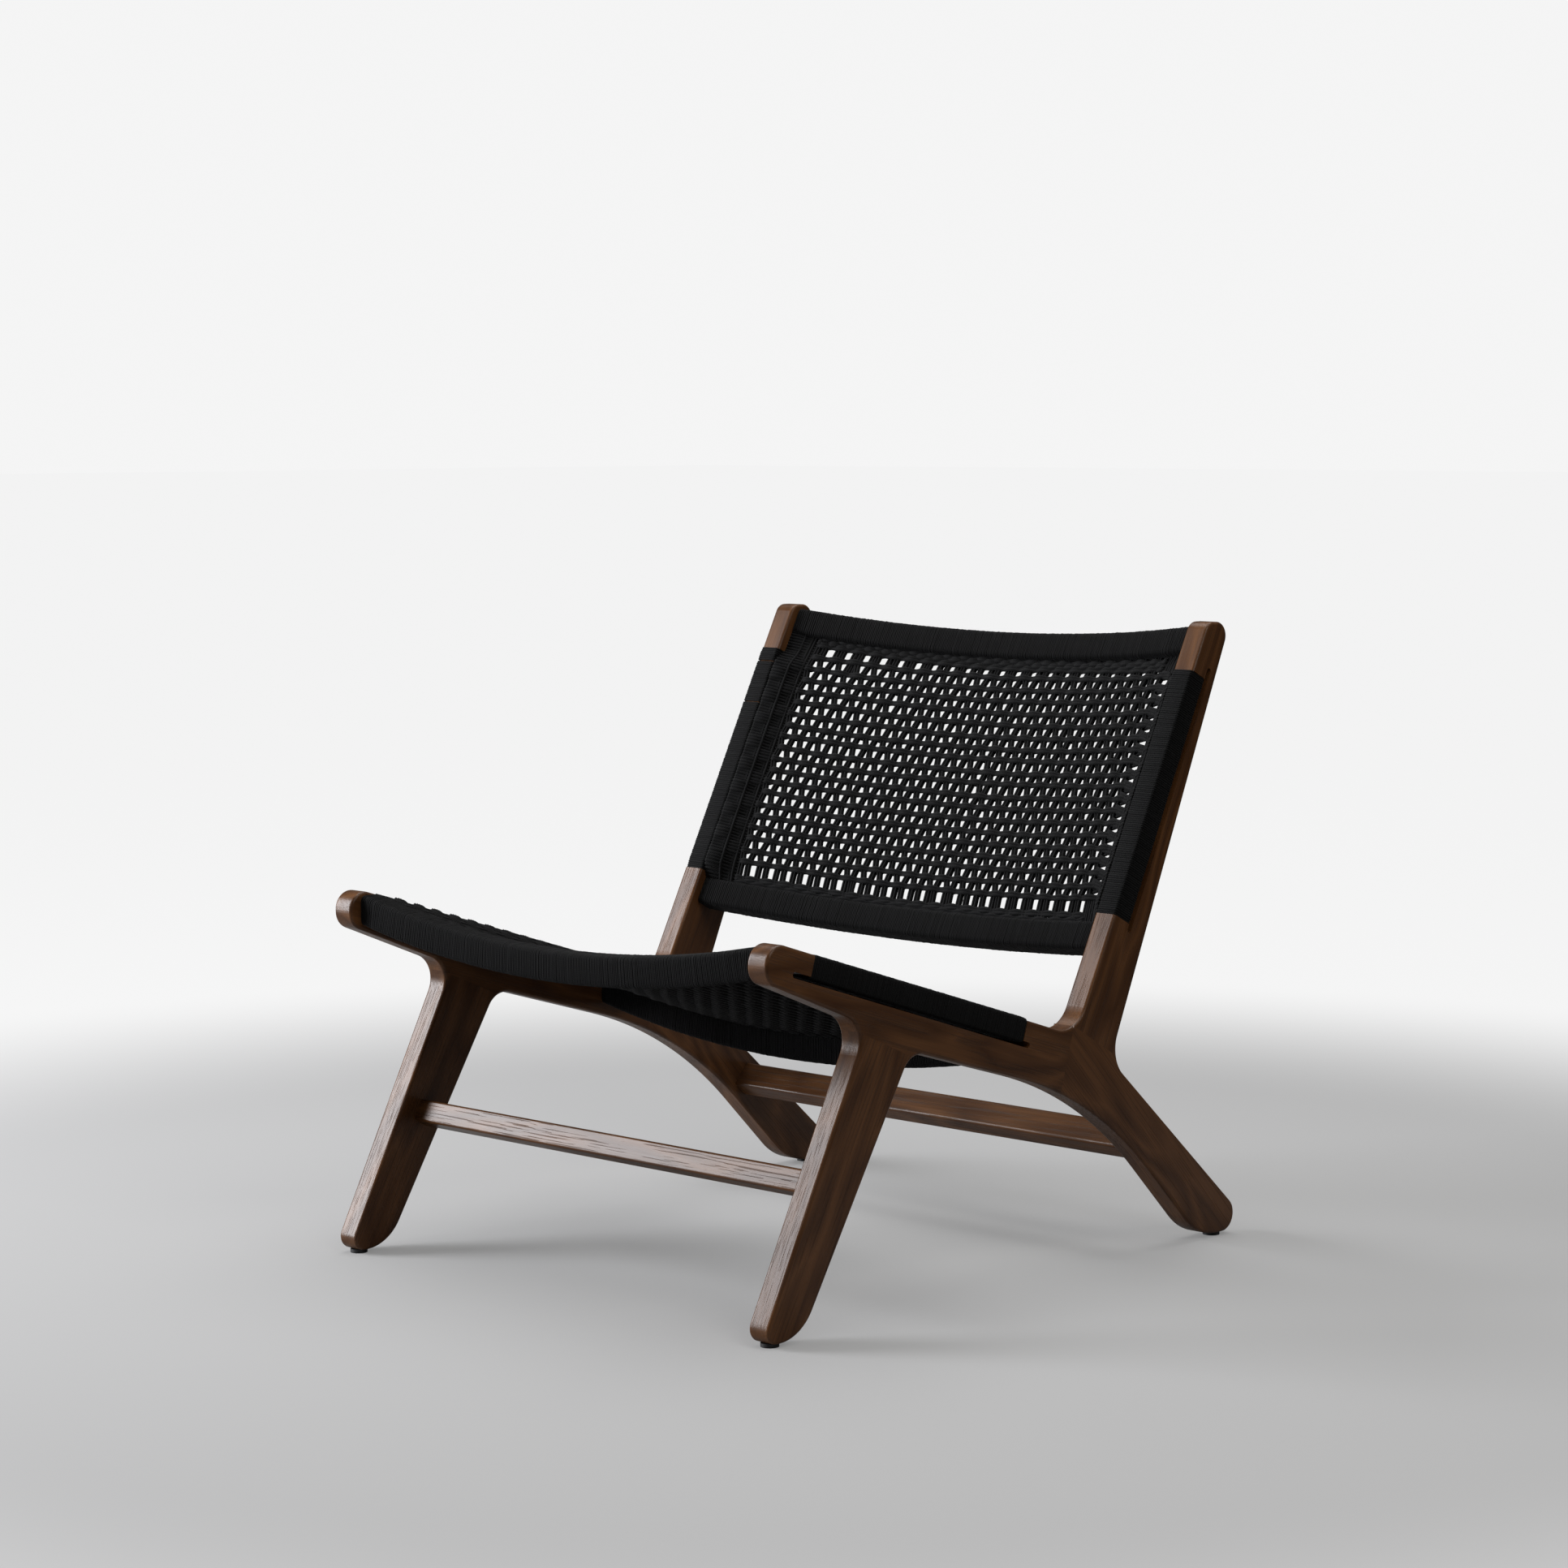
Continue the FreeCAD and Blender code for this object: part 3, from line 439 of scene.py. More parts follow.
def black_cord(name):
    made, tree, shader = new_material(name)
    around = add(tree, "ShaderNodeAttribute", attribute_name="around")
    tint = add(tree, "ShaderNodeAttribute", attribute_name="tint")
    cord = add(tree, "ShaderNodeGroup", node_tree=twist)
    tree.links.new(around.outputs["Vector"], cord.inputs["Around"])
    worn = maths(tree, "MULTIPLY", cord.outputs["Fuzz"], 0.5)
    mixed = maths(tree, "MULTIPLY_ADD", tint.outputs["Fac"], 0.5, worn)
    tree.links.new(steps(tree, mixed, ((0.2, DARK_TURN), (0.8, PALE_TURN))),
                   shader.inputs["Base Color"])
    bump = add(tree, "ShaderNodeBump", Strength=0.5, Distance=0.00025)
    tree.links.new(cord.outputs["Height"], bump.inputs["Height"])
    tree.links.new(bump.outputs["Normal"], shader.inputs["Normal"])
    shader.inputs["Roughness"].default_value = 0.80
    shader.inputs["Specular IOR Level"].default_value = 0.12
    shader.inputs["Sheen Weight"].default_value = 0.03
    shader.inputs["Sheen Roughness"].default_value = 0.5
    return made


cord_black = black_cord("cord_black")
print("cord material:", cord_black.name)

# %% [markdown]
# Thousands of turns of cord are far too many to be separate curve objects, so the tubes are
# computed directly. A family of paths of equal length is one array; a single sum gives all
# the rings of all its tubes. Each ring is turned from a reference direction that never runs
# along the path, such as the bar's axis for turns around that bar, so no tube can twist.

# %% Tubes around paths
SIDES = 6
CORD = 0.00245           # diameter of one cord
PUFFED = 0.52            # a tube's radius in diameters, a little over half: cords press together
rng = np.random.default_rng(7)


def unit(v):
    return v / np.linalg.norm(v, axis=-1, keepdims=True)


def square_to(paths, reference, closed):
    """Two directions across each path, at each of its points."""
    if closed:
        tangent = np.roll(paths, -1, 1) - np.roll(paths, 1, 1)
    else:
        tangent = np.gradient(paths, axis=1)
    tangent = unit(tangent)
    reference = np.broadcast_to(reference, paths.shape)
    side = unit(reference - (reference * tangent).sum(-1, keepdims=True) * tangent)
    return side, np.cross(tangent, side)


def tube_quads(steps_along, closed):
    """The faces around one tube, by the numbers of its points."""
    ring = np.arange(steps_along if closed else steps_along - 1)[:, None] * SIDES
    corner = np.arange(SIDES)[None, :]
    here = ring + corner
    beside = ring + (corner + 1) % SIDES
    wrap = steps_along * SIDES
    quads = np.stack([here, beside, (beside + SIDES) % wrap, (here + SIDES) % wrap], -1)
    return quads.reshape(1, -1, 4)


# %% [markdown]
# A winding or a weave is one thing on the chair, so it becomes one object. The class below
# gathers families of cords with their two numbers, and makes the mesh once, when all of them
# are in. That is much quicker than joining thousands of small objects.

# %% Collecting cords into a piece
class Cordwork:
    """Collects families of cords and makes one object of them."""

    def __init__(self):
        self.points = []
        self.around = []
        self.tint = []
        self.faces = []
        self.count = 0

    def add(self, paths, reference, diameter=CORD, closed=False):
        """paths: one family of cords, as an array (cords, points, 3)."""
        cords, steps_along, _ = paths.shape
        side, third = square_to(paths, reference, closed)
        angle = np.arange(SIDES) * (2 * math.pi / SIDES)
        cosine = np.cos(angle)[None, None, :, None]
        sine = np.sin(angle)[None, None, :, None]
        rings = paths[:, :, None, :] + diameter * PUFFED * (cosine * side[:, :, None, :]
                                                            + sine * third[:, :, None, :])
        lengths = np.linalg.norm(np.diff(paths, axis=1), axis=-1)
        along = np.concatenate([np.zeros((cords, 1)), np.cumsum(lengths, 1)], 1)
        label = np.empty(rings.shape)
        label[..., 0] = cosine[..., 0]
        label[..., 1] = sine[..., 0]
        label[..., 2] = along[:, :, None]
        self.points.append(rings.reshape(-1, 3))
        self.around.append(label.reshape(-1, 3))
        wrap = steps_along * SIDES
        shade = np.clip(rng.normal(0.5, 0.22, (cords, 1)), 0, 1)
        self.tint.append(np.repeat(shade, wrap, 1).reshape(-1))
        start = self.count + np.arange(cords) * wrap
        quads = start[:, None, None] + tube_quads(steps_along, closed)
        self.faces += quads.reshape(-1, 4).tolist()
        if not closed:
            for first in start.tolist():
                self.faces.append([first + k for k in reversed(range(SIDES))])
                self.faces.append([first + wrap - SIDES + k for k in range(SIDES)])
        self.count += cords * wrap

    def make(self, name, *replaced):
        mesh = bpy.data.meshes.new(name)
        mesh.from_pydata(np.concatenate(self.points).tolist(), [], self.faces)
        mesh.polygons.foreach_set("use_smooth", [True] * len(mesh.polygons))
        around = mesh.attributes.new("around", "FLOAT_VECTOR", "POINT")
        around.data.foreach_set("vector", np.concatenate(self.around).ravel())
        tint = mesh.attributes.new("tint", "FLOAT", "POINT")
        tint.data.foreach_set("value", np.concatenate(self.tint))
        mesh.materials.append(cord_black)
        piece = bpy.data.objects.new(name, mesh)
        scene.collection.objects.link(piece)
        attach(piece, "root")
        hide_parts(*replaced)
        print("%-22s %7d faces" % (name, len(mesh.polygons)))

# %% [markdown]
# ## Cord around the crossbars
# Each crossbar is bowed, and it is hidden under one close layer of turns. The turns stand
# square to the bar, so they fan a little where it curves; at the very ends they straighten
# up, because there they press against the flat side frame.

# %% A bowed bar
BAR_TALL = 0.027
BAR_DEEP = 0.022
LAYER = 0.0032           # cord stands this far off the wood
STRAIGHTEN = 0.03        # the turns straighten up over this much of each end


class Bar:
    """Where a bowed bar's ends sit, which way it arches, and how far."""

    def __init__(self, centre, bow, up, along, high, deep):
        self.centre = centre
        self.bow = bow
        self.up = up
        self.along = along
        self.high = high
        self.deep = deep
        self.radius = (HALF_SPAN ** 2 + bow ** 2) / (2 * bow)

    def drop(self, x):
        return np.sqrt(self.radius ** 2 - x ** 2) - (self.radius - self.bow)

    def lean(self, x):
        """The angle of the bar to level, faded out at the very ends."""
        angle = np.arcsin(x / self.radius)
        return angle * np.clip((HALF_SPAN - np.abs(x)) / STRAIGHTEN, 0, 1)

    def place(self, x, height, depth):
        lean = self.lean(x)
        level = x - height * np.sin(lean)
        raised = height * np.cos(lean) - self.drop(x)
        return (self.centre + level[..., None] * X + raised[..., None] * self.up
                + depth[..., None] * self.along)


# %% [markdown]
# The seat's bars hang between the rails and bow downwards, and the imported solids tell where.
# The back's bars lie between the posts and bow backwards, square to them. A box around a
# tilted bar doesn't tell its tilt, so they are placed from the posts' front edge.

# %% The four bars
FRAME_DEPTH = 0.760
POST_FRONT_FOOT = 0.4167         # where the posts' front edge would meet the floor
BACK_DATUM_HEIGHT = 0.345
BACK_BAR_INSET = 0.0095

# The posts' front edge passes this point, and the back's two bars are measured from it.
rear = cad_box[0][1] + FRAME_DEPTH
post_datum = in_side_plane(rear - POST_FRONT_FOOT + BACK_DATUM_HEIGHT * math.tan(rake),
                           BACK_DATUM_HEIGHT)


def seat_bar(node):
    low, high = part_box(node)
    bow = high[2] - low[2] - BAR_TALL
    centre = in_side_plane((low[1] + high[1]) / 2, high[2] - BAR_TALL / 2)
    return Bar(centre, bow, in_side_plane(0, 1), in_side_plane(1, 0), BAR_TALL, BAR_DEEP)


def back_bar(up_post, bow):
    setback = BACK_BAR_INSET + LAYER + BAR_DEEP / 2
    centre = post_datum + post_run * up_post + post_inward * setback
    return Bar(centre, bow, -post_inward, post_run, BAR_DEEP, BAR_TALL)


LOW_BAR_PLACE = 0.021
bars = {
    "seat_front_crossbar": seat_bar("seat_front_crossbar"),
    "seat_rear_crossbar": seat_bar("seat_rear_crossbar"),
    "back_bottom_crossbar": back_bar(LOW_BAR_PLACE, 0.030),
    "back_top_crossbar": back_bar(0.377, 0.042),
}
for node, bar in bars.items():
    print("%-22s bowed by %.1f mm" % (node, bar.bow * 1000))

# %% [markdown]
# A winding could be one long helix. Separate closed turns look the same once they lie side by
# side, and each can stand square to the bar and stray a little by itself, as a hand winds it.

# %% Turns around the bars
SNUG = 0.985             # from one turn to the next, in diameters
UNEVEN = 0.00010         # how far a turn strays
BAR_WRAP_ROUND = 0.0042
END_CLEAR = 0.7          # from the last turn's middle to the side frame, in cords


def round_loop(half_a, half_b, radius, corner_steps=3):
    """A rectangle with rounded corners, as points (a, b) in order around it."""
    a = half_a - radius
    b = half_b - radius
    loop = []
    for turn, (middle_a, middle_b) in enumerate(((a, b), (-a, b), (-a, -b), (a, -b))):
        for step in range(corner_steps + 1):
            angle = (turn + step / corner_steps) * math.pi / 2
            loop.append((middle_a + radius * math.cos(angle),
                         middle_b + radius * math.sin(angle)))
    return np.array(loop)


def wind_bar(node):
    """One close layer of turns, in place of the bar's plain sleeve."""
    bar = bars[node]
    clear = HALF_SPAN - CORD * END_CLEAR
    turns = int(2 * clear / (CORD * SNUG))
    x = np.linspace(-clear, clear, turns)[:, None]
    wander = rng.normal(0, UNEVEN, (turns, 1))
    out = LAYER - CORD / 2
    loop = round_loop(bar.high / 2 + out, bar.deep / 2 + out, BAR_WRAP_ROUND)
    swell = rng.normal(0, UNEVEN, (turns, 1))
    height = loop[None, :, 0] + np.sign(loop[None, :, 0]) * swell
    depth = loop[None, :, 1] + np.sign(loop[None, :, 1]) * swell
    spread = x + wander + 0 * height
    work = Cordwork()
    work.add(bar.place(spread, height, depth), X, closed=True)
    work.make(node + "_cord", node + "_wrap")


for node in bars:
    wind_bar(node)

# %% [markdown]
# ## Cord around the rails and posts
# A slot runs beside the upper edge of each rail and the front edge of each post. Cord passes
# through it and over the edge again and again, lying in a shallow recess so that it ends up
# level with the board. The layer thickens slowly towards the back of the rail and the top of
# the post, where the weaver finished, and the last turns pull in.

# %% Turns around a strip of a side board
STRIP_ROUND = 0.0026
END_PULL = 0.0011        # how far the last turns pull in
STRAY = 0.00008          # how far a turn strays


def wind_strip(name, replaced, start, run, inward, length, depths, proud, hand, gaps=()):
    """Turns around a strip of a side board. hand is +1 for the right frame, -1 for the left.

    depths and proud give the strip's depth and how far the cord stands proud of its edge,
    at the start and at the end. gaps lists (place, width) where two turns stand a little
    apart.
    """
    covered = length - sum(width for _, width in gaps)
    turns = int(covered / (CORD * SNUG))
    place = np.linspace(CORD / 2, covered - CORD / 2, turns)
    for start_of_gap, width in gaps:
        place = np.where(place > start_of_gap, place + width, place)
    share = (place / length)[:, None]
    ease = np.clip(np.minimum(place, length - place) / (3 * CORD), 0, 1)[:, None]
    pull = END_PULL * (1 - np.sqrt(ease))
    thin = CORD / 2
    face = HALF_SPAN + thin
    back = HALF_WIDTH - thin
    edge = -(proud[0] * (1 - share) + proud[1] * share) + thin + pull
    deep = depths[0] * (1 - share) + depths[1] * share + thin
    signs = np.sign(round_loop(1, 1, 0.0))
    arc = round_loop(STRIP_ROUND, STRIP_ROUND, STRIP_ROUND)
    x = np.where(signs[None, :, 0] > 0, back - STRIP_ROUND, face + STRIP_ROUND) + arc[None, :, 0]
    n = np.where(signs[None, :, 1] > 0, deep - STRIP_ROUND, edge + STRIP_ROUND) + arc[None, :, 1]
    x = x + np.sign(arc[None, :, 0]) * (-pull * 0.6 + rng.normal(0, STRAY, pull.shape))
    n = n + np.sign(arc[None, :, 1]) * rng.normal(0, UNEVEN, pull.shape)
    along = place[:, None] + rng.normal(0, STRAY, pull.shape) + 0 * n
    paths = (start + along[..., None] * run + n[..., None] * inward
             + hand * x[..., None] * X)
    work = Cordwork()
    work.add(paths, run, closed=True)
    work.make(name, replaced)


# %% [markdown]
# The rail and the post differ only in their place, length and thickness, and the left side
# mirrors the right one. On the left post the turns have slid apart in two places, and the wood
# shows there.

# %% The four wound strips
RAIL_FRONT_HEIGHT = 0.410
RAIL_WRAP_START = 0.073
POST_WRAP_START = 0.043
RAIL_WOUND = 0.343
POST_WOUND = 0.291
RAIL_STRIP = ((0.0220, 0.0220), (0.0008, 0.0026))      # depths, and how far proud
POST_STRIP = ((0.0270, 0.0226), (0.0006, 0.0026))
LEFT_POST_GAPS = ((POST_WOUND - 0.074, 0.0012), (POST_WOUND - 0.019, 0.0014))

rail_start = in_side_plane(cad_box[0][1], RAIL_FRONT_HEIGHT) + rail_run * RAIL_WRAP_START
post_start = post_datum + post_run * POST_WRAP_START
for side, hand, post_gaps in (("right", 1, ()), ("left", -1, LEFT_POST_GAPS)):
    wind_strip(side + "_rail_cord", side + "_rail_wrap", rail_start, rail_run, rail_inward,
               RAIL_WOUND, *RAIL_STRIP, hand)
    wind_strip(side + "_post_cord", side + "_post_wrap", post_start, post_run, post_inward,
               POST_WOUND, *POST_STRIP, hand, post_gaps)

# %% [markdown]
# ## The twined weave
# The seat and the back are twined. Strands of three cords run from bar to bar. Across them,
# at every row, doubled cords pass in front of one pair of strands and behind the next,
# gathering two neighbours and then, a row later, parting them again. That is what makes the
# holes taper alternately up and down. It could be a sheet with a picture of holes, but only
# real cords shade each other and stand up when seen from the side. The weave lies on the
# curved sheet that the two bars span, so it is written as functions of three numbers: across,
# along, and lift off the sheet.

# %% The sheet between two bars
DIP_HOLD = 0.017         # the sheet stays dipped this far from a bar
DIP_FADE_FIRST = 0.036   # and comes up slowly over these lengths
DIP_FADE_LAST = 0.030


class Sheet:
    """The curved surface that the weave lies on. Near each bar it dips back by 'dip'."""

    def __init__(self, first, last, dip=0.0):
        self.first = first
        self.last = last
        self.dip = dip
        self.reach = last.centre - first.centre
        self.length = float(np.linalg.norm(self.reach))
        self.up = first.up
        self.lift = first.high / 2

    def sunk(self, along):
        """The strands leave from the middle of a bar; the posts draw the sheet forward."""
        from_first = np.clip(along - DIP_HOLD, 0, None)
        from_last = np.clip(self.length - DIP_HOLD - along, 0, None)
        return self.dip * (np.exp(-from_first / DIP_FADE_FIRST)
                           + np.exp(-from_last / DIP_FADE_LAST))

    def place(self, x, along, lift):
        share = along / self.length
        bow = self.first.drop(x) * (1 - share) + self.last.drop(x) * share
        raised = self.lift - bow + lift - self.sunk(along)
        return (self.first.centre + share[..., None] * self.reach + x[..., None] * X
                + raised[..., None] * self.up)


# %% [markdown]
# A strand is two cords side by side with a third behind them. At each row it is pulled towards
# one neighbour and at the next towards the other, so its path is a chain of short slants.

# %% Strands from bar to bar
THREAD = 0.0038          # the weave's cords
GATHER = 0.0017          # how far a strand is pulled towards its partner
STRAND = ((-0.5, 0.15), (0.5, 0.15), (0.0, -0.7))      # its cords: across and lift, in cords
STRAND_COUNT = 43
STRAND_EDGES = (-0.2655, 0.2665)
SLACK = 0.0004           # how far a strand or a row strays from its place
PULL_SLACK = 0.00045     # and how unevenly a strand is pulled


def strand_places():
    return np.linspace(*STRAND_EDGES, STRAND_COUNT) + rng.normal(0, SLACK, STRAND_COUNT)


def weave(work, sheet, strands, rows, first_end, last_end, end_pull=(0.5, 0.5)):
    """Strands at the given x, rows at the given distances along the sheet.

    Beyond the first and the last row the strands keep the given shares of their pull.
    Gives how far each strand is pulled at each row.
    """
    count = len(strands)
    wobble = rng.normal(0, PULL_SLACK, (count, len(rows)))
    pull = np.array([[1 if (i + j) % 2 == 0 else -1 for j in range(len(rows))]
                     for i in range(count)]) * GATHER
    pull = pull + wobble
    ends = np.concatenate([pull[:, :1] * end_pull[0], pull, pull[:, -1:] * end_pull[1]], 1)
    places = np.concatenate([[first_end], rows, [last_end]])
    along = []
    for low, high in zip(places[:-1], places[1:]):
        along += list(low + (high - low) * np.array([0.0, 0.2, 0.8]))
    along = np.array(along + [last_end])
    slide = np.stack([np.interp(along, places, ends[i]) for i in range(count)])
    for offset, lift in STRAND:
        x = strands[:, None] + slide + offset * THREAD
        work.add(sheet.place(x, along[None, :] + 0 * x, lift * THREAD + 0 * x),
                 sheet.up, THREAD)
    return pull


def fill_gaps(work, sheet, gaps):
    """Extra doubled strands where the weaver closed a gap: x, from, to along the sheet."""
    for middle_x, low, high in gaps:
        along = np.linspace(low, high, 9)
        for offset in (-THREAD / 2, THREAD / 2):
            x = middle_x + offset + rng.normal(0, 0.0002, 9)
            work.add(sheet.place(x, along, 0 * along)[None], sheet.up, THREAD)


# %% [markdown]
# A row is highest in the middle of a gathered pair, lowest at the next, and level between
# them. A soft curve through these few places gives the whole wave.

# %% Where a row crosses over and under
def row_knots(strands, pull, lead, left_edge, right_edge):
    """The x where one row is highest, lowest and level, from edge to edge.

    Every second row starts one strand further in, so a single strand is left at the edge.
    """
    pairs = []
    for i in range(lead, len(strands) - 1, 2):
        pairs.append((strands[i] + pull[i] + strands[i + 1] + pull[i + 1]) / 2)
    if lead:
        pairs.insert(0, strands[0] + pull[0])
    if (len(strands) - lead) % 2:
        pairs.append(strands[-1] + pull[-1])
    knots = [left_edge]
    for first, second in zip(pairs[:-1], pairs[1:]):
        knots += [first, (first + second) / 2]
    knots += [pairs[-1], right_edge]
    wave = np.zeros(len(knots))
    wave[1:-1:2] = [1 if k % 2 == 0 else -1 for k in range(len(pairs))]
    return np.array(knots), wave


def smooth(places, values, wanted):
    """A soft curve through the given values, flat at each of them."""
    index = np.clip(np.searchsorted(places, wanted) - 1, 0, len(places) - 2)
    share = np.clip((wanted - places[index]) / (places[index + 1] - places[index]), 0, 1)
    share = share * share * (3 - 2 * share)
    return values[index] * (1 - share) + values[index + 1] * share


# %% [markdown]
# One doubled cord passes in front of a pair while the other passes behind it, and they trade
# places on the way to the next pair. Beside a bar the rows are beaten up close, until they
# read as a row of bumps.

# %% Rows of double cord across the strands
ROW_LIFT = 0.98          # how high a row passes over a pair, in cords
ROW_APART = 0.46         # from a row's middle to each of its two cords
ROW_TWIST = 0.15         # how far the two cords come together between pairs
SAG = 0.0006             # how far a row wavers on its way across
PAST_STRANDS = 0.003     # packed rows run this far past the outermost strands


def cross_rows(work, sheet, strands, rows, pull, left_edge, right_edge, tilt=0.0, relief=1.0):
    """Two doubled cords per row, crossing between every gathered pair."""
    lift_out = THREAD * ROW_LIFT * relief
    for j, row in enumerate(rows):
        knots, wave = row_knots(strands, pull[:, j], j % 2, left_edge, right_edge)
        x = np.concatenate([np.linspace(a, b, 5)[:-1] for a, b in zip(knots[:-1], knots[1:])]
                           + [[knots[-1]]])
        height = smooth(knots, wave, x)
        sag = np.interp(x, np.linspace(left_edge, right_edge, 9), rng.normal(0, SAG, 9))
        family = []
        for face in (1, -1):
            for offset in (-ROW_APART, ROW_APART):
                closer = ROW_TWIST * THREAD * np.sign(offset) * (np.abs(height) - 1)
                along = row + sag + offset * THREAD + closer + tilt * x / HALF_SPAN
                family.append(sheet.place(x, along, face * height * lift_out))
        work.add(np.stack(family), sheet.up, THREAD)


def packed_rows(work, sheet, strands, rows, tilt=0.0, relief=1.0):
    """Rows beaten up close against a bar, as bumps with no holes between them."""
    straight = np.zeros((len(strands), len(rows)))
    cross_rows(work, sheet, strands, rows, straight, strands[0] - PAST_STRANDS,
               strands[-1] + PAST_STRANDS, tilt, relief)


# %% [markdown]
# Between the outermost strands and the side frames the weave closes up: the rows' cords are
# packed with filler until no hole is left, and they rise and dip over two extra strands.
# That dense border carries the load into the frame.

# %% Dense borders
CLIMB_FADE = 0.018       # past the winding's ends the border sinks back over this length
BORDER_SNUG = 0.97       # from one packed cord to the next, in cords
BORDER_THREAD = THREAD * 1.05
EXTRA_STRANDS = (3, 9)   # which points across the border the two extra strands lie under


def border(work, sheet, rows, inner, outer, first_end, last_end, rise, wound, bump, waves):
    """Packed cords from x = inner to the side frame at x = outer.

    They climb to the frame's edge by 'rise', given at the first bar and at the last, and
    only where the frame is 'wound'. They weave up and down by 'bump' of a cord, in 'waves'
    half waves.
    """
    edges = np.concatenate([[first_end], (rows[1:] + rows[:-1]) / 2, [last_end]])
    x = np.linspace(inner, outer, 17)
    share = np.abs(x - inner) / abs(outer - inner)
    phase = share * math.pi * waves
    window = (wound[0] - CLIMB_FADE, wound[0], wound[1], wound[1] + CLIMB_FADE)

    def climb(place):
        height = rise[0] + (rise[1] - rise[0]) * place / sheet.length
        height *= np.interp(place, window, (0, 1, 1, 0))
        return height * np.sin(share * math.pi / 2) ** 1.5 + sheet.sunk(place) * share

    for j, (low, high) in enumerate(zip(edges[:-1], edges[1:])):
        count = max(2, int(round((high - low) / (THREAD * BORDER_SNUG))))
        places = low + (np.arange(count) + 0.5) * (high - low) / count
        lift = np.sin(phase) * THREAD * (bump if j % 2 else -bump)
        family = []
        for place in places:
            fan = (place - (low + high) / 2) / (high - low)
            along = place + rng.normal(0, 0.00015) + 0 * x
            family.append(sheet.place(x, along, lift * (1 - 0.8 * abs(fan)) + climb(place)))
        work.add(np.stack(family), sheet.up, BORDER_THREAD)
    along = np.linspace(first_end, last_end, 2 * len(rows) + 2)
    for middle in EXTRA_STRANDS:
        for offset in (-THREAD / 2, THREAD / 2):
            lift = np.array([climb(place)[middle] for place in along])
            work.add(sheet.place(x[middle] + offset + 0 * along, along, lift)[None],
                     sheet.up, THREAD)


# %% [markdown]
# On the right the border is narrow, and the last cords there are not packed. They lean
# together towards the post, and leave a pointed opening between every two rows.

# %% Pointed openings at one side
BESIDE_OPENING = (0.5, 1.4, 2.2)         # cords above and below it, in cords from its edge


def pointed_gaps(work, sheet, rows, inner, outer, half_open):
    """Between two rows the last cords lean together and leave a pointed opening."""
    x = np.linspace(inner, outer, 5)
    share = (x - inner) / (outer - inner)
    for low, high in zip(rows[:-1], rows[1:]):
        middle = (low + high) / 2 + rng.normal(0, 0.0006)
        mouth = half_open * rng.uniform(0.7, 1.2)
        for way in (-1, 1):
            family = []
            for layer in BESIDE_OPENING:
                along = middle + way * (mouth * (1 - share) + THREAD * layer)
                family.append(sheet.place(x, along, way * THREAD * 0.4 + 0 * x))
            work.add(np.stack(family), sheet.up, THREAD)


# %% [markdown]
# The back has an open weave. Its rows are placed up the posts, with three packed ones under
# the top bar and two above the lower one. The weaver closed a few holes with doubled strands.
# The crossing rows are a piece of their own, which keeps both meshes light enough to handle.

# %% Back weave
BACK_DIP = 0.0085
BACK_ROWS = (0.0637, 0.3337, 19)         # the first, the last and how many
ROW_SHIFT = 0.36         # rows move up by this share of the sheet's dip
TOP_PACKED = np.array([0.3484, 0.3532, 0.3582])
LOW_PACKED = np.array([0.0402, 0.0464])
STRAND_ENDS = 0.004      # strands run this far into the winding of a bar
WEAVE_LEFT = -0.268      # where the open weave ends and the borders begin
BACK_WEAVE_RIGHT = 0.2845
CLOSED_HOLES = ((-0.2080, 0.300, 0.336), (-0.1000, 0.020, 0.044), (-0.0265, 0.020, 0.044),
                (0.0750, 0.020, 0.036), (0.2735, 0.010, 0.043), (0.2735, 0.314, 0.346),
                (0.2808, 0.010, 0.043), (0.2808, 0.314, 0.346))

back_sheet = Sheet(bars["back_bottom_crossbar"], bars["back_top_crossbar"], BACK_DIP)
back_strands = strand_places()
back_rows = np.linspace(*BACK_ROWS) - LOW_BAR_PLACE
back_rows = (back_rows + ROW_SHIFT * back_sheet.sunk(back_rows)
             + rng.normal(0, SLACK, len(back_rows)))
low_end = BAR_TALL / 2 - STRAND_ENDS
high_end = back_sheet.length - BAR_TALL / 2 + STRAND_ENDS
work = Cordwork()
pull = weave(work, back_sheet, back_strands, back_rows, low_end, high_end, (0.45, 1.1))
crossing = Cordwork()
cross_rows(crossing, back_sheet, back_strands, back_rows, pull, WEAVE_LEFT, BACK_WEAVE_RIGHT)
crossing.make("back_rows", "back_web")
packed_rows(work, back_sheet, back_strands, TOP_PACKED - LOW_BAR_PLACE, tilt=-0.0040)
packed_rows(work, back_sheet, back_strands, LOW_PACKED - LOW_BAR_PLACE, relief=0.6)
fill_gaps(work, back_sheet, CLOSED_HOLES)
for inner, outer in ((WEAVE_LEFT, -HALF_SPAN), (BACK_WEAVE_RIGHT, HALF_SPAN)):
    border(work, back_sheet, back_rows, inner, outer, low_end, high_end,
           rise=(0.0116, 0.0116), wound=(0.033, 0.298), bump=0.3, waves=2.0)
pointed_gaps(work, back_sheet, back_rows, 0.2690, 0.2870, 0.0052)
work.make("back_strands", "back_web")

# %% [markdown]
# The seat is woven like the back, at one even pitch, on a sheet that doesn't dip at its bars.
# Its borders climb to the rails, a little at the front bar and more at the rear one, which
# lies deeper between them.

# %% Seat weave
ROW_PITCH = 0.0140
FIRST_ROW = 0.030
REAR_CLEAR = 0.020       # kept free at the rear bar, past the last row's pitch
SEAT_PACKED = np.array([0.0165, 0.0215])
SEAT_ROW_SLACK = 0.0005
SEAT_WEAVE_RIGHT = 0.268

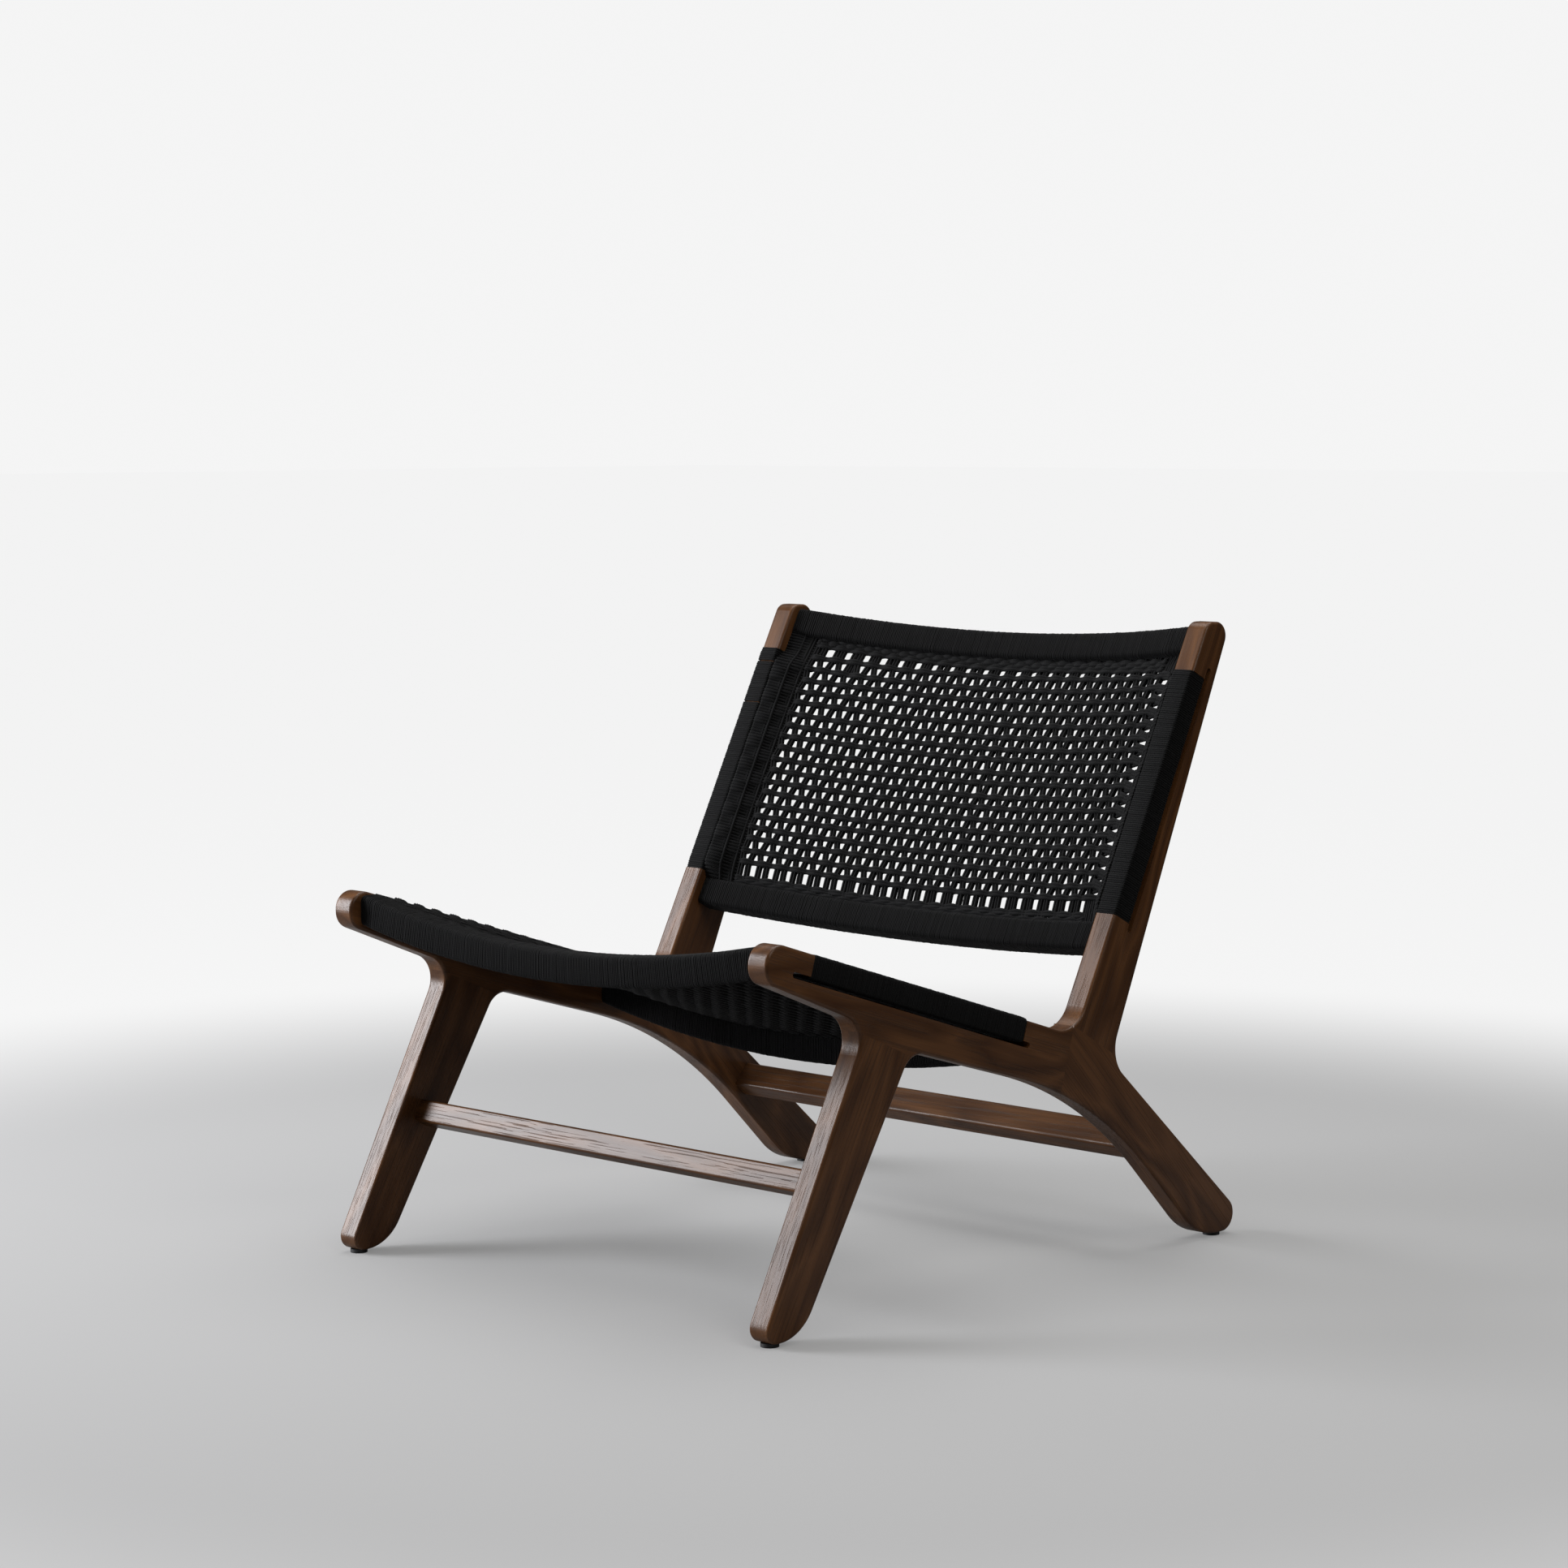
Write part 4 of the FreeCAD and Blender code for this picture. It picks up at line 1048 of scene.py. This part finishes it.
seat_sheet = Sheet(bars["seat_front_crossbar"], bars["seat_rear_crossbar"])
seat_strands = strand_places()
row_count = int((seat_sheet.length - (FIRST_ROW + REAR_CLEAR)) / ROW_PITCH)
seat_rows = FIRST_ROW + np.arange(row_count) * ROW_PITCH
seat_rows = seat_rows + rng.normal(0, SEAT_ROW_SLACK, row_count)
low_end = BAR_DEEP / 2 - STRAND_ENDS
high_end = seat_sheet.length - BAR_DEEP / 2 + STRAND_ENDS
work = Cordwork()
pull = weave(work, seat_sheet, seat_strands, seat_rows, low_end, high_end)
crossing = Cordwork()
cross_rows(crossing, seat_sheet, seat_strands, seat_rows, pull, WEAVE_LEFT, SEAT_WEAVE_RIGHT)
crossing.make("seat_rows", "seat_web")
packed_rows(work, seat_sheet, seat_strands, SEAT_PACKED, relief=0.7)
packed_rows(work, seat_sheet, seat_strands, seat_sheet.length - SEAT_PACKED[::-1], relief=0.7)
for inner, outer in ((WEAVE_LEFT, -HALF_SPAN), (SEAT_WEAVE_RIGHT + 0.001, HALF_SPAN)):
    border(work, seat_sheet, seat_rows, inner, outer, low_end, high_end,
           rise=(0.0050, 0.0150), wound=(0.0, seat_sheet.length), bump=0.45, waves=2.5)
work.make("seat_strands", "seat_web")

# %% [markdown]
# ## Feet and hidden fixings
# A small black glide is nailed under each foot. The dowels and nails never show, but they
# travel with the part, so they get a plain finish of their own.

# %% Small parts
def plain_finish(name, colour, roughness, metallic=0.0, speck=900.0):
    """One colour with faint darker specks."""
    made, tree, shader = new_material(name)
    noise = add(tree, "ShaderNodeTexNoise", Scale=speck, Detail=2.0)
    where = add(tree, "ShaderNodeTexCoord")
    tree.links.new(where.outputs["Object"], noise.inputs["Vector"])
    darker = tuple(c * 0.75 for c in colour)
    tree.links.new(steps(tree, noise.outputs["Fac"], ((0.35, darker), (0.65, colour))),
                   shader.inputs["Base Color"])
    shader.inputs["Roughness"].default_value = roughness
    shader.inputs["Metallic"].default_value = metallic
    return made


FINISHES = {"glide": plain_finish("glide_black", (0.02, 0.02, 0.021), 0.5),
            "dowels": plain_finish("raw_beech", (0.45, 0.30, 0.17), 0.6, speck=300.0),
            "glide_nails": plain_finish("nail_steel", (0.5, 0.5, 0.52), 0.35, 1.0)}
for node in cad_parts:
    for ending, finish in FINISHES.items():
        if node.endswith(ending):
            give(node, finish)
print("small finishes:", [finish.name for finish in FINISHES.values()])
